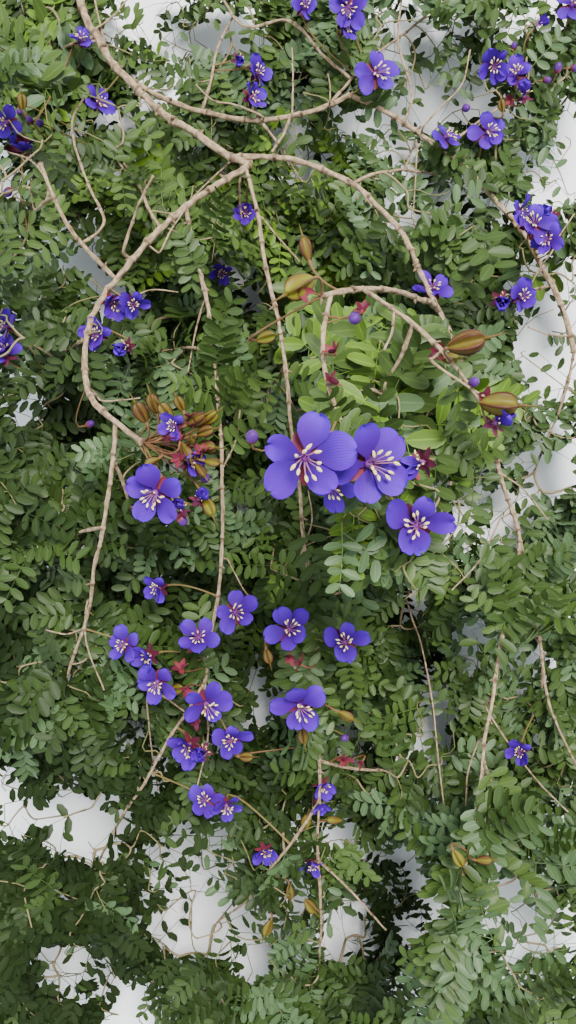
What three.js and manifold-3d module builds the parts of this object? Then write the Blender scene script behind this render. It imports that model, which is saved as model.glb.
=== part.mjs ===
// A flowering branch of guayacan, cut from its tree and laid down on a level surface.
// Millimetres, +Z up, the surface at z = 0. The cut end points towards -X and +Y.
// A main stem forks into boughs and twigs. Leafy masses, blooms and pods grow on these.

import * as THREE from "three";
import { mergeVertices } from "three/addons/utils/BufferGeometryUtils.js";
import Module from "manifold-3d";

const wasm = await Module();
wasm.setup();

// The layout is given as it is seen from an eye straight above the branch:
// a pixel of a 576 x 1024 picture and a height above the surface give one place.
const PICTURE_CENTRE = { across: 288, down: 512 };
const EYE_HEIGHT = 565;
const FOCAL_PIXELS = 750;

// No leaf reaches beyond these sides, from the point under the eye.
const REACH = { left: -215, right: 215, foot: -378, head: 385 };

const JOINT_GAP = 0.42;
const KNEE_SPACING = 20;
const KNEE_OFFSET = 1.1;
const LIMB_SIDES = 5;

// Faces that lie within the first of these of one another are made one, or within the next of them
// where that would pinch a solid to an edge.
const SIMPLER_STEPS = [0.18, 0.1, 0.05];

// One leaf blade in the solids stands for a spray: two pairs of leaves and an end leaf.
const SPRAY = {
  length: 104,
  halfWidth: 42,
  thickness: 1,
  pairs: 2,
  stalk: 10,
  ribHalfWidth: 1.8,
  sunk: 2.5,
  smallest: 0.5,
};
const MASS_STEM = { radii: [1.25, 0.8] };
const SIDE_TWIG = { radii: [0.95, 0.4], shortest: 5, longest: 24 };
const NODE_SPACING = 80;
const FIRST_NODE = 20;
const SPRAY_TRIES = 220;
const MOST_ROOM = 60;
const SPACE_MARGIN = 1.2;

// How far apart the points on the limbs are that should stay in sight, the share of its worth that a
// blade loses for each one that it hides, and the most that are counted.
const SIGHT = { step: 8, cost: 0.15, most: 5 };

const PETALS = 5;
const STALK_RADIUS = 0.75;
const POD = { length: 15, width: 11, wings: 4, beak: 8, turn: 20 };

const UP = new THREE.Vector3(0, 0, 1);

// Each limb: the limb that carries it, the share of that limb's length where it starts, where its tip
// is seen, the tip's height, how far its middle stands off a straight line, and its two end radii.
const LIMBS = {
  main_stem: {
    start: [68, -70], startHeight: 60, tip: [250, 165], height: 125, bow: [-24, -17, 4], radii: [3.2, 2.5],
  },
  left_bough_upper: {
    from: "main_stem", at: 1, tip: [91, 318], height: 150, bow: [-6, 6, 0], radii: [2.3, 2],
  },
  left_bough_lower: {
    from: "left_bough_upper", at: 1, tip: [143, 442], height: 190, bow: [-14, -6, 2], radii: [2, 1.8],
  },
  right_bough: {
    from: "main_stem", at: 0.95, tip: [416, 262], height: 140, bow: [11, 19, 0], radii: [2, 1.8],
  },
  right_bough_lower: {
    from: "right_bough", at: 1, tip: [540, 640], height: 95, bow: [6, 4, 8], radii: [1.8, 1.4],
  },
  mid_twig: {
    from: "main_stem", at: 0.985, tip: [318, 860], height: 112, bow: [12, 0, 30], radii: [1.5, 1],
  },
  top_bough: {
    from: "main_stem", at: 0.56, tip: [350, 95], height: 92, bow: [0, -18, -6], radii: [2, 1.9],
  },
  right_edge_bough: {
    from: "top_bough", at: 1, tip: [574, 352], height: 75, bow: [22, 16, 0], radii: [1.9, 2.2],
  },
  left_edge_twig: {
    from: "left_bough_upper", at: 0.8, tip: [40, 163], height: 172, bow: [-4, -4, 4], radii: [1.5, 1.2],
  },
  centre_twig: {
    from: "left_bough_upper", at: 0.35, tip: [204, 690], height: 122, bow: [16, 0, 6], radii: [1.6, 1.2],
  },
  hanging_twig: {
    from: "left_bough_lower", at: 0.8, tip: [84, 628], height: 135, bow: [3, 0, 6], radii: [1.5, 1.2],
  },
  front_bough: {
    from: "right_bough_lower", at: 0.12, tip: [322, 296], height: 248, bow: [0, 2, 14], radii: [1.8, 1.5],
  },
  front_twig_down: {
    from: "front_bough", at: 0.96, tip: [366, 462], height: 262, bow: [-9, -4, 6], radii: [1.3, 1.1],
  },
  front_twig_right: {
    from: "front_bough", at: 0.8, tip: [482, 404], height: 262, bow: [-2, 4, 8], radii: [1.3, 1],
  },
  right_low_twig: {
    from: "right_bough_lower", at: 0.72, tip: [452, 965], height: 168, bow: [-6, 0, 14], radii: [1.4, 1],
  },
};

// Each bloom: where it is seen, its height, its diameter, the way it faces, and its stalk's limb.
const BLOOMS = {
  bloom_front_left: {
    seenAt: [306, 458], height: 304, diameter: 33, facing: [-0.35, -0.1, 1], turn: 10,
    from: "front_twig_down", at: 0.72,
  },
  bloom_front_right: {
    seenAt: [368, 464], height: 297, diameter: 31, facing: [0.3, -0.05, 1], turn: 40,
    from: "front_twig_down", at: 0.94,
  },
  bloom_right: {
    seenAt: [415, 524], height: 261, diameter: 30, facing: [0.25, -0.3, 1], turn: 5,
    from: "front_twig_down", at: 1,
  },
  bloom_left: {
    seenAt: [156, 492], height: 206, diameter: 29, facing: [-0.2, -0.3, 1], turn: 22,
    from: "left_bough_lower", at: 0.9,
  },
  bloom_middle_a: {
    seenAt: [236, 612], height: 146, diameter: 25, facing: [-0.3, 0.2, 1], turn: 30,
    from: "centre_twig", at: 0.82,
  },
  bloom_middle_b: {
    seenAt: [290, 630], height: 178, diameter: 25, facing: [-0.3, 0.4, 1], turn: 50,
    from: "mid_twig", at: 0.64,
  },
  bloom_middle_c: {
    seenAt: [344, 642], height: 168, diameter: 26, facing: [0.35, 0, 1], turn: 12,
    from: "mid_twig", at: 0.68,
  },
  bloom_middle_d: {
    seenAt: [199, 638], height: 150, diameter: 23, facing: [-0.1, 0.5, 1], turn: 64,
    from: "centre_twig", at: 0.88,
  },
  bloom_low_a: {
    seenAt: [206, 703], height: 148, diameter: 27, facing: [0.2, -0.3, 1], turn: 0,
    from: "centre_twig", at: 1,
  },
  bloom_low_b: {
    seenAt: [300, 705], height: 182, diameter: 28, facing: [-0.1, -0.3, 1], turn: 33,
    from: "mid_twig", at: 0.78,
  },
  bloom_low_c: {
    seenAt: [231, 739], height: 134, diameter: 24, facing: [0.3, -0.2, 1], turn: 15,
    from: "centre_twig", at: 1,
  },
  bloom_low_d: {
    seenAt: [158, 681], height: 140, diameter: 24, facing: [-0.3, -0.3, 1], turn: 48,
    from: "centre_twig", at: 0.93,
  },
  bloom_top: {
    seenAt: [375, 74], height: 114, diameter: 28, facing: [0.1, -0.1, 1], turn: 20,
    from: "top_bough", at: 1,
  },
  bloom_top_right: {
    seenAt: [487, 133], height: 88, diameter: 24, facing: [0, -0.1, 1], turn: 36,
    from: "right_edge_bough", at: 0.42,
  },
  bloom_right_edge: {
    seenAt: [533, 226], height: 118, diameter: 27, facing: [0.1, 0.1, 1], turn: 8,
    from: "right_edge_bough", at: 0.72,
  },
};

// Each pod node, on one limb: where each of its pods is seen, the pod's height, the way its beak points,
// and its size beside a full-grown one.
const POD_NODES = {
  pod_front_left: {
    from: "front_bough",
    at: 1,
    pods: [{ seenAt: [300, 286], height: 262, beak: [-0.7, -0.5, 0.3], size: 1 }],
  },
  pod_front_right: {
    from: "front_twig_right",
    at: 0.74,
    pods: [{ seenAt: [466, 343], height: 270, beak: [1, 0.2, 0.3], size: 1 }],
  },
  pod_front_tip: {
    from: "front_twig_right",
    at: 1,
    pods: [{ seenAt: [499, 404], height: 266, beak: [1, -0.1, 0.2], size: 1 }],
  },
  pods_left: {
    from: "left_bough_lower",
    at: 1,
    pods: [
      { seenAt: [196, 420], height: 206, beak: [1, 0.5, 0.3], size: 0.72 },
      { seenAt: [206, 447], height: 200, beak: [1, -0.1, 0.3], size: 0.72 },
      { seenAt: [141, 413], height: 206, beak: [-0.4, 0.8, 0.4], size: 0.72 },
    ],
  },
};

// Each leafy mass: the limb it grows on, where along it, and where its stem's tip is seen.
const MASSES = {
  leaves_top_left: { from: "main_stem", at: 0.42, tip: [48, 62], height: 45 },
  leaves_top_middle: { from: "top_bough", at: 0.35, tip: [240, 5], height: 50 },
  leaves_top_right: { from: "top_bough", at: 0.9, tip: [432, 15], height: 50 },
  leaves_corner: { from: "right_edge_bough", at: 0.3, tip: [540, 85], height: 60 },
  leaves_under_fork: { from: "top_bough", at: 0.6, tip: [325, 222], height: 48 },
  leaves_left_upper: { from: "left_edge_twig", at: 0.75, tip: [28, 235], height: 95 },
  leaves_crook: { from: "left_bough_upper", at: 0.5, tip: [120, 155], height: 60 },
  leaves_right_upper: { from: "right_bough", at: 0.55, tip: [435, 175], height: 50 },
  leaves_right_side: { from: "right_edge_bough", at: 0.8, tip: [470, 305], height: 45 },
  leaves_left_middle: { from: "left_bough_lower", at: 0.15, tip: [38, 392], height: 58 },
  leaves_inner_left: { from: "centre_twig", at: 0.3, tip: [165, 350], height: 75 },
  leaves_inner_middle: { from: "mid_twig", at: 0.3, tip: [265, 400], height: 62 },
  leaves_front: { from: "front_twig_right", at: 0.45, tip: [378, 400], height: 222 },
  leaves_right_middle: { from: "right_edge_bough", at: 1, tip: [535, 470], height: 48 },
  leaves_right_inner: { from: "right_bough_lower", at: 0.35, tip: [405, 600], height: 60 },
  leaves_left_low: { from: "hanging_twig", at: 0.45, tip: [42, 548], height: 48 },
  leaves_under_left: { from: "hanging_twig", at: 0.15, tip: [165, 560], height: 55 },
  leaves_under_middle: { from: "mid_twig", at: 0.6, tip: [355, 590], height: 52 },
  leaves_right_low: { from: "right_bough_lower", at: 1, tip: [530, 745], height: 45 },
  leaves_fan: { from: "hanging_twig", at: 1, tip: [60, 725], height: 80 },
  leaves_low_left: { from: "centre_twig", at: 0.98, tip: [70, 905], height: 48 },
  leaves_low_middle: { from: "mid_twig", at: 0.9, tip: [215, 925], height: 42 },
  leaves_low_right: { from: "mid_twig", at: 0.84, tip: [420, 770], height: 62 },
  leaves_bottom: { from: "mid_twig", at: 1, tip: [320, 975], height: 42 },
  leaves_right_tip: { from: "right_low_twig", at: 1, tip: [440, 1010], height: 90 },
  leaves_right_foot: { from: "right_low_twig", at: 0.55, tip: [535, 895], height: 55 },
};

// A small generator of even random numbers from 0 to 1, the same on every run.
function seeded(seed) {
  let state = seed >>> 0;
  return () => {
    state = (state + 0x6d2b79f5) >>> 0;
    let mixed = Math.imul(state ^ (state >>> 15), 1 | state);
    mixed = (mixed + Math.imul(mixed ^ (mixed >>> 7), 61 | mixed)) ^ mixed;
    return ((mixed ^ (mixed >>> 14)) >>> 0) / 4294967296;
  };
}

function between(random, low, high) {
  return low + (high - low) * random();
}

// The place of a thing seen at a pixel and known to lie at a height.
function seen([across, down], height) {
  const scale = (EYE_HEIGHT - height) / FOCAL_PIXELS;
  return new THREE.Vector3(
    (across - PICTURE_CENTRE.across) * scale,
    (PICTURE_CENTRE.down - down) * scale,
    height,
  );
}

// A three.js geometry as a manifold-3d solid.
function solidOf(geometry) {
  const bare = geometry.clone();
  bare.deleteAttribute("normal");
  bare.deleteAttribute("uv");
  const merged = mergeVertices(bare, 1e-4);
  const mesh = new wasm.Mesh({
    numProp: 3,
    vertProperties: new Float32Array(merged.attributes.position.array),
    triVerts: new Uint32Array(merged.index.array),
  });
  return new wasm.Manifold(mesh);
}

function geometryOf(solid) {
  const mesh = solid.getMesh();
  const geometry = new THREE.BufferGeometry();
  geometry.setAttribute("position", new THREE.BufferAttribute(new Float32Array(mesh.vertProperties), 3));
  geometry.setIndex(new THREE.BufferAttribute(new Uint32Array(mesh.triVerts), 1));
  geometry.computeVertexNormals();
  return geometry;
}

// What is left of a solid once loose scraps are dropped.
function largestPiece(solid) {
  const pieces = solid.decompose();
  return pieces.reduce((best, piece) => (piece.volume() > best.volume() ? piece : best));
}

// A curve that bows off the straight line from start to tip, with small knees where leaves once grew.
function kneedCurve(start, tip, bow, random) {
  const control = start.clone().add(tip).multiplyScalar(0.5).addScaledVector(new THREE.Vector3(...bow), 2);
  const arc = new THREE.QuadraticBezierCurve3(start, control, tip);
  const knees = Math.max(3, Math.round(arc.getLength() / KNEE_SPACING));
  const points = arc.getSpacedPoints(knees);
  const moved = points.map((point, i) => {
    const inside = i > 0 && i < knees;
    const offset = new THREE.Vector3(random() - 0.5, random() - 0.5, random() - 0.5);
    return inside ? point.clone().addScaledVector(offset, 2 * KNEE_OFFSET) : point;
  });
  return new THREE.CatmullRomCurve3(moved, false, "centripetal");
}

// A closed tapered limb along a curve: a cylinder whose rings are carried onto the curve.
// With a margin, it is that much thicker all round and longer at both ends.
function taperedAlong(curve, [baseRadius, tipRadius], sides, steps, margin = 0) {
  const geometry = new THREE.CylinderGeometry(tipRadius + margin, baseRadius + margin, 1, sides, steps);
  const frames = curve.computeFrenetFrames(steps);
  const position = geometry.attributes.position;
  const corner = new THREE.Vector3();
  for (let i = 0; i < position.count; i++) {
    corner.fromBufferAttribute(position, i);
    const step = Math.round((corner.y + 0.5) * steps);
    const place = curve.getPointAt(step / steps);
    if (step === 0) place.addScaledVector(frames.tangents[step], -margin);
    if (step === steps) place.addScaledVector(frames.tangents[step], margin);
    place.addScaledVector(frames.normals[step], corner.x);
    place.addScaledVector(frames.binormals[step], -corner.z);
    position.setXYZ(i, place.x, place.y, place.z);
  }
  return solidOf(geometry);
}

// The limbs' curves, each starting on the one that carries it.
const curves = {};
Object.entries(LIMBS).forEach(([name, limb], index) => {
  const random = seeded(100 + index);
  const tip = seen(limb.tip, limb.height);
  let start;
  if (limb.from) {
    const parent = curves[limb.from];
    start = parent.getPointAt(limb.at);
    if (limb.at === 1) start.addScaledVector(tip.clone().sub(start).normalize(), JOINT_GAP);
  } else {
    start = seen(limb.start, limb.startHeight);
  }
  curves[name] = kneedCurve(start, tip, limb.bow, random);
});

function limbSolid(name, margin) {
  const curve = curves[name];
  const steps = Math.max(4, Math.round(curve.getLength() / (1.6 * KNEE_SPACING)));
  return taperedAlong(curve, LIMBS[name].radii, LIMB_SIDES, steps, margin);
}

// What later pieces keep clear of: everything made so far, each a little larger than it is.
const obstacles = [];

function boxOf(solid) {
  const { min, max } = solid.boundingBox();
  return new THREE.Box3(new THREE.Vector3(...min), new THREE.Vector3(...max));
}

function keepClearOf(solid) {
  obstacles.push({ solid, box: boxOf(solid) });
}

function obstaclesNear(solid) {
  const box = boxOf(solid);
  return obstacles.filter((other) => other.box.intersectsBox(box)).map((other) => other.solid);
}

// A solid cut clear of everything made so far.
function cutClear(solid) {
  const near = obstaclesNear(solid);
  return near.length ? largestPiece(wasm.Manifold.difference([solid, ...near])) : solid;
}

function touchesAnything(solid) {
  return obstaclesNear(solid).some((other) => !other.intersect(solid).isEmpty());
}

const group = new THREE.Group();

// Whether two corners of a solid fall on one spot, as where it is pinched to an edge.
function isPinched(solid) {
  const { vertProperties, numVert } = solid.getMesh();
  const spots = new Set();
  for (let i = 0; i < numVert; i++) {
    const corner = vertProperties.slice(3 * i, 3 * i + 3);
    spots.add(Array.from(corner, (value) => value.toFixed(3)).join(" "));
  }
  return spots.size < numVert;
}

// A solid whose faces that lie within a hair of one another are made one, as far as that pinches nothing.
function madeSimpler(solid) {
  const choices = SIMPLER_STEPS.map((step) => largestPiece(solid.asOriginal().simplify(step)));
  return choices.find((choice) => !isPinched(choice)) ?? solid;
}

// Adds a solid as a named mesh.
function addMesh(name, solid, material) {
  const mesh = new THREE.Mesh(geometryOf(madeSimpler(solid)), material);
  mesh.name = name;
  group.add(mesh);
}

const bark = new THREE.MeshStandardMaterial({ color: 0xb59a80, roughness: 0.85 });
const leaf = new THREE.MeshStandardMaterial({ color: 0x4d7434, roughness: 0.5 });
const petal = new THREE.MeshStandardMaterial({ color: 0x5a45d8, roughness: 0.6 });
const podSkin = new THREE.MeshStandardMaterial({ color: 0x97802c, roughness: 0.55 });

function makeLimbs() {
  for (const name of Object.keys(LIMBS)) {
    const solid = cutClear(limbSolid(name, 0));
    addMesh(name, solid, bark);
    keepClearOf(limbSolid(name, JOINT_GAP));
  }
}

// Turns a shape made round +Z to face a direction, after a turn about its own axis.
function facingMatrix(place, facing, turnDegrees) {
  const axis = new THREE.Vector3(...facing).normalize();
  const swing = new THREE.Quaternion().setFromUnitVectors(UP, axis);
  const turn = new THREE.Quaternion().setFromAxisAngle(UP, THREE.MathUtils.degToRad(turnDegrees));
  return new THREE.Matrix4().compose(place, swing.multiply(turn), new THREE.Vector3(1, 1, 1));
}

// A bloom round +Z: a star of five broad petals on narrow claws, with a tuft of stamens in the middle.
// It is a sphere of four levels: the tuft's tip, the heart, the petals' rim and the back of the heart.
function corollaGeometry(radius) {
  const HEART = { radius: 2.3, top: 1.8, back: -1.6, tuftTip: 7.5 };
  const CUP_RISE = 0.14;
  const petalOutline = [
    [0.13, -0.095],
    [0.5, -0.31],
    [0.95, -0.19],
    [0.95, 0.19],
    [0.5, 0.31],
  ];
  const corners = PETALS * petalOutline.length;
  const geometry = new THREE.SphereGeometry(1, corners, 3);
  const position = geometry.attributes.position;
  for (let i = 0; i < position.count; i++) {
    const level = Math.floor(i / (corners + 1));
    const corner = i % (corners + 1) % corners;
    const turn = (2 * Math.PI * Math.floor(corner / petalOutline.length)) / PETALS;
    const [along, across] = petalOutline[corner % petalOutline.length];
    const rim = new THREE.Vector2(along, across).rotateAround(new THREE.Vector2(), turn);
    const heart = rim.clone().setLength(HEART.radius);
    const places = [
      [0, 0, HEART.tuftTip],
      [heart.x, heart.y, HEART.top],
      [radius * rim.x, radius * rim.y, CUP_RISE * radius * along],
      [0, 0, HEART.back],
    ];
    position.setXYZ(i, ...places[level]);
  }
  return geometry;
}

// A bloom and its stalk back to the limb.
function bloomSolid(bloom) {
  const place = seen(bloom.seenAt, bloom.height);
  const matrix = facingMatrix(place, bloom.facing, bloom.turn);
  const corolla = solidOf(corollaGeometry(bloom.diameter / 2).applyMatrix4(matrix));
  return corolla.add(stalkSolid(bloom, place, matrix, 0));
}

// A thin stalk that leaves the limb and comes up behind the bloom or pod.
function stalkSolid(plan, place, matrix, margin) {
  const STALK_SIDES = 3;
  const STALK_STEPS = 2;
  const start = curves[plan.from].getPointAt(plan.at);
  const axis = new THREE.Vector3(0, 0, 1).transformDirection(matrix);
  const reach = start.distanceTo(place);
  if (plan.at === 1) start.addScaledVector(place.clone().sub(start).normalize(), JOINT_GAP);
  const behind = place.clone().addScaledVector(axis, -0.45 * reach);
  const curve = new THREE.QuadraticBezierCurve3(start, behind, place);
  return taperedAlong(curve, [STALK_RADIUS, STALK_RADIUS], STALK_SIDES, STALK_STEPS, margin);
}

function makeBlooms() {
  for (const [name, bloom] of Object.entries(BLOOMS)) {
    const solid = cutClear(bloomSolid(bloom));
    addMesh(name, solid, petal);
    keepClearOf(bloomSpace(bloom));
  }
}

// The room a bloom needs: a flat drum round its petals and tuft, and its stalk with the gap added.
function bloomSpace(bloom) {
  const DRUM = { margin: 1.2, below: -1, above: 8.5, sides: 12 };
  const place = seen(bloom.seenAt, bloom.height);
  const matrix = facingMatrix(place, bloom.facing, bloom.turn);
  const radius = bloom.diameter / 2 + DRUM.margin;
  const drum = new THREE.CylinderGeometry(radius, radius, DRUM.above - DRUM.below, DRUM.sides);
  drum.rotateX(Math.PI / 2).translate(0, 0, (DRUM.above + DRUM.below) / 2).applyMatrix4(matrix);
  return solidOf(drum).add(stalkSolid(bloom, place, matrix, JOINT_GAP));
}

// A winged pod on +Z, its foot at the origin: an egg whose sides stand out at the wings.
function podBody() {
  const WINGS = POD.wings;
  const geometry = new THREE.SphereGeometry(1, 2 * WINGS, 4);
  const position = geometry.attributes.position;
  for (let i = 0; i < position.count; i++) {
    const x = position.getX(i);
    const z = position.getZ(i);
    const round = Math.hypot(x, z);
    const angle = Math.atan2(z, x);
    const wing = 0.72 + 0.28 * Math.cos(WINGS * angle);
    const up = (position.getY(i) + 1) / 2;
    const broad = 0.75 + 0.5 * up;
    const radius = (POD.width / 2) * round * wing * broad;
    position.setXYZ(i, radius * Math.cos(angle), -radius * Math.sin(angle), POD.length * up);
  }
  return geometry;
}

// The thin beak at the pod's top, its foot sunk in the pod.
function podBeak() {
  const BEAK = { radius: 0.9, sides: 3, sunk: 2 };
  const beak = new THREE.ConeGeometry(BEAK.radius, POD.beak + BEAK.sunk, BEAK.sides);
  return beak.rotateX(Math.PI / 2).translate(0, 0, POD.length + (POD.beak - BEAK.sunk) / 2);
}

function podSolid(node) {
  const parts = [];
  for (const pod of node.pods) {
    const place = seen(pod.seenAt, pod.height);
    const matrix = facingMatrix(place, pod.beak, POD.turn);
    for (const piece of [podBody(), podBeak()]) {
      piece.scale(pod.size, pod.size, pod.size).translate(0, 0, -POD.length / 2);
      parts.push(solidOf(piece.applyMatrix4(matrix)));
    }
    parts.push(stalkSolid(node, place, matrix, 0));
  }
  return wasm.Manifold.union(parts);
}

// The room a pod node needs: a capsule round each pod and its beak, and the stalks with the gap added.
function podSpace(node) {
  const CAPSULE = { margin: 1, sides: 8 };
  const parts = [];
  for (const pod of node.pods) {
    const place = seen(pod.seenAt, pod.height);
    const matrix = facingMatrix(place, pod.beak, POD.turn);
    const length = POD.length + POD.beak + 2 * CAPSULE.margin;
    const capsule = new THREE.CylinderGeometry(3, POD.width / 2 + 3, length, CAPSULE.sides);
    capsule.rotateX(Math.PI / 2).translate(0, 0, POD.beak / 2).applyMatrix4(matrix);
    parts.push(solidOf(capsule));
    parts.push(stalkSolid(node, place, matrix, JOINT_GAP));
  }
  return wasm.Manifold.union(parts);
}

function makePods() {
  for (const [name, node] of Object.entries(POD_NODES)) {
    const solid = cutClear(podSolid(node));
    addMesh(name, solid, podSkin);
    keepClearOf(podSpace(node));
  }
}

// The outline of a spray blade, root at the origin and tip on +X: pairs of leaves and an end leaf.
// Each leaf bellies out from its foot on the rib, and its tip points forward.
function sprayShape() {
  const { length, halfWidth, stalk, ribHalfWidth, pairs, sunk } = SPRAY;
  const step = (0.66 * length - stalk) / pairs;
  const side = [[-sunk, 0.7 * ribHalfWidth]];
  for (let i = 0; i < pairs; i++) {
    const foot = stalk + i * step;
    side.push([foot, ribHalfWidth], [foot + 0.2 * step, 0.55 * halfWidth], [foot + 0.9 * step, halfWidth]);
  }
  side.push([stalk + pairs * step, ribHalfWidth], [0.8 * length, 0.36 * halfWidth]);
  const outline = [...side, [length, 0], ...side.map(([x, y]) => [x, -y]).reverse()];
  return new THREE.Shape(outline.map(([x, y]) => new THREE.Vector2(x, y)));
}

const sprayBlade = new THREE.ExtrudeGeometry(sprayShape(), {
  depth: SPRAY.thickness,
  bevelEnabled: false,
  steps: 1,
}).translate(0, 0, -SPRAY.thickness / 2);

const sprayOutline = sprayShape().getPoints();

// The matrix that lays a spray's root at a place, its rib along a heading and its face up, rolled a little.
function sprayMatrix(place, heading, roll, size) {
  const along = heading.clone().normalize();
  const across = new THREE.Vector3().crossVectors(UP, along).normalize();
  const face = new THREE.Vector3().crossVectors(along, across);
  const matrix = new THREE.Matrix4().makeBasis(along, across, face);
  matrix.multiply(new THREE.Matrix4().makeRotationX(roll));
  return matrix.scale(new THREE.Vector3(size, size, 1)).setPosition(place);
}

const stems = {};
Object.entries(MASSES).forEach(([name, mass], index) => {
  const random = seeded(300 + index);
  const start = curves[mass.from].getPointAt(mass.at);
  const tip = seen(mass.tip, mass.height);
  if (mass.at === 1) start.addScaledVector(tip.clone().sub(start).normalize(), JOINT_GAP);
  const rise = 0.1 * start.distanceTo(tip);
  stems[name] = kneedCurve(start, tip, [0, 0, rise], random);
});

const stemPoints = Object.fromEntries(
  Object.entries(stems).map(([name, curve]) => [name, curve.getSpacedPoints(14)]),
);

function distanceToStem(point, name) {
  return Math.min(...stemPoints[name].map((other) => point.distanceTo(other)));
}

// A mass keeps to its own space: what is nearer to its stem than to any other, above the surface.
function insideSpace(points, name) {
  return points.every((point) => {
    const { x, y, z } = point;
    if (z < 0.5 || x < REACH.left || x > REACH.right || y < REACH.foot || y > REACH.head) return false;
    const own = distanceToStem(point, name) + SPACE_MARGIN;
    return Object.keys(stems).every((other) => other === name || distanceToStem(point, other) > own);
  });
}

// The pixel at which a place is seen from the eye.
function pixelOf(place) {
  const scale = FOCAL_PIXELS / (EYE_HEIGHT - place.z);
  return [PICTURE_CENTRE.across + place.x * scale, PICTURE_CENTRE.down - place.y * scale];
}

// The limbs and blooms stay in sight of the eye: these are points on them.
const limbPoints = Object.values(curves).flatMap((curve) => {
  return curve.getSpacedPoints(Math.round(curve.getLength() / SIGHT.step));
});
const bloomPoints = Object.values(BLOOMS).map((bloom) => seen(bloom.seenAt, bloom.height));
const shownPoints = [...limbPoints, ...bloomPoints].map((place) => {
  return { height: place.z, pixel: pixelOf(place) };
});

// Whether a pixel lies in an outline: a line drawn to its left crosses the outline an odd number of times.
function isInside([x, y], outline) {
  let inside = false;
  outline.forEach(([ax, ay], i) => {
    const [bx, by] = outline[(i + 1) % outline.length];
    if (ay > y !== by > y && x < ax + ((y - ay) * (bx - ax)) / (by - ay)) inside = !inside;
  });
  return inside;
}

// How many of those points a blade hides from the eye.
function pointsHidden(outline, height) {
  const corners = outline.map(pixelOf);
  return shownPoints.filter((shown) => shown.height < height && isInside(shown.pixel, corners)).length;
}

const sprayCentres = [];

// How far a spray's middle is, as seen from above, from the nearest other spray's.
function roomAround(centre) {
  const apart = sprayCentres.map((other) => Math.hypot(other.x - centre.x, other.y - centre.y));
  return Math.min(MOST_ROOM, ...apart);
}

// The twig and spray of one side of a node, or null where there is no room for them.
// Each try wanders further from the heading, on a shorter twig and with a smaller spray. The try that is
// kept fills the widest gap, lies the flattest and hides the fewest limbs.
function growSpray(name, node, heading, random, blades) {
  let best = null;
  for (let attempt = 0; attempt < SPRAY_TRIES; attempt++) {
    const eased = attempt / SPRAY_TRIES;
    const wander = new THREE.Vector3(random() - 0.5, random() - 0.5, random() - 0.5);
    const direction = heading.clone().addScaledVector(wander, 0.6 + 2.4 * eased).normalize();
    const length = between(random, SIDE_TWIG.shortest, SIDE_TWIG.longest) * (1 - 0.5 * eased);
    const end = node.clone().addScaledVector(direction, length);
    const rib = direction.clone().addScaledVector(UP, between(random, -0.35, 0.1));
    const size = 1 - (1 - SPRAY.smallest) * eased;
    const matrix = sprayMatrix(end, rib, between(random, -0.4, 0.4), size);
    const outline = sprayOutline.map(({ x, y }) => new THREE.Vector3(x, y, 0).applyMatrix4(matrix));
    if (!insideSpace([end, ...outline.slice(1, -1)], name)) continue;
    const centre = new THREE.Vector3(0.5 * SPRAY.length, 0, 0).applyMatrix4(matrix);
    const levelness = new THREE.Vector3(0, 0, 1).transformDirection(matrix).z;
    const hidden = pointsHidden(outline, centre.z);
    const worth = roomAround(centre) * size * levelness * (1 - SIGHT.cost * Math.min(hidden, SIGHT.most));
    if (best && worth <= best.worth) continue;
    const blade = solidOf(sprayBlade.clone().applyMatrix4(matrix));
    if (blades.some((other) => !other.intersect(blade).isEmpty())) continue;
    const twigLine = new THREE.LineCurve3(node, end.clone().addScaledVector(direction, 1));
    const twig = taperedAlong(twigLine, SIDE_TWIG.radii, 3, 1);
    const grown = blade.add(twig);
    if (touchesAnything(grown)) continue;
    best = { worth, blade, grown, centre };
  }
  if (!best) return null;
  blades.push(best.blade);
  sprayCentres.push(best.centre);
  return best.grown;
}

function makeMasses() {
  Object.keys(MASSES).forEach((name, index) => {
    const random = seeded(500 + index);
    const curve = stems[name];
    const length = curve.getLength();
    const steps = Math.max(3, Math.round(length / (2 * KNEE_SPACING)));
    const stem = cutClear(taperedAlong(curve, MASS_STEM.radii, 3, steps));
    const parts = [stem];
    const blades = [];
    const nodes = Math.max(2, Math.round(length / NODE_SPACING));
    for (let k = 0; k < nodes; k++) {
      const share = (FIRST_NODE + ((length - FIRST_NODE) * (k + 0.2)) / nodes) / length;
      const node = curve.getPointAt(share);
      const along = curve.getTangentAt(share);
      const level = new THREE.Vector3().crossVectors(UP, along).normalize();
      const lift = new THREE.Vector3().crossVectors(along, level);
      const quarter = (k * Math.PI) / 2 + between(random, -0.4, 0.4);
      for (const side of [0, Math.PI]) {
        const sideways = level.clone().multiplyScalar(Math.cos(quarter + side));
        sideways.addScaledVector(lift, 0.4 * Math.sin(quarter + side));
        const heading = sideways.addScaledVector(along, 0.55).normalize();
        const grown = growSpray(name, node, heading, random, blades);
        if (grown) parts.push(grown);
      }
    }
    const end = growSpray(name, curve.getPointAt(0.995), curve.getTangentAt(1), random, blades);
    if (end) parts.push(end);
    addMesh(name, wasm.Manifold.union(parts), leaf);
  });
}

// Moves the finished branch: the middle of its box over the origin and its lowest tip on the surface.
function settle() {
  const box = new THREE.Box3().setFromObject(group);
  const middle = box.getCenter(new THREE.Vector3());
  for (const mesh of group.children) mesh.geometry.translate(-middle.x, -middle.y, -box.min.z);
  console.log("moved by", -middle.x, -middle.y, -box.min.z, "blades", sprayCentres.length);
}

makeLimbs();
makeBlooms();
makePods();
makeMasses();
settle();

export default group;
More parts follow.
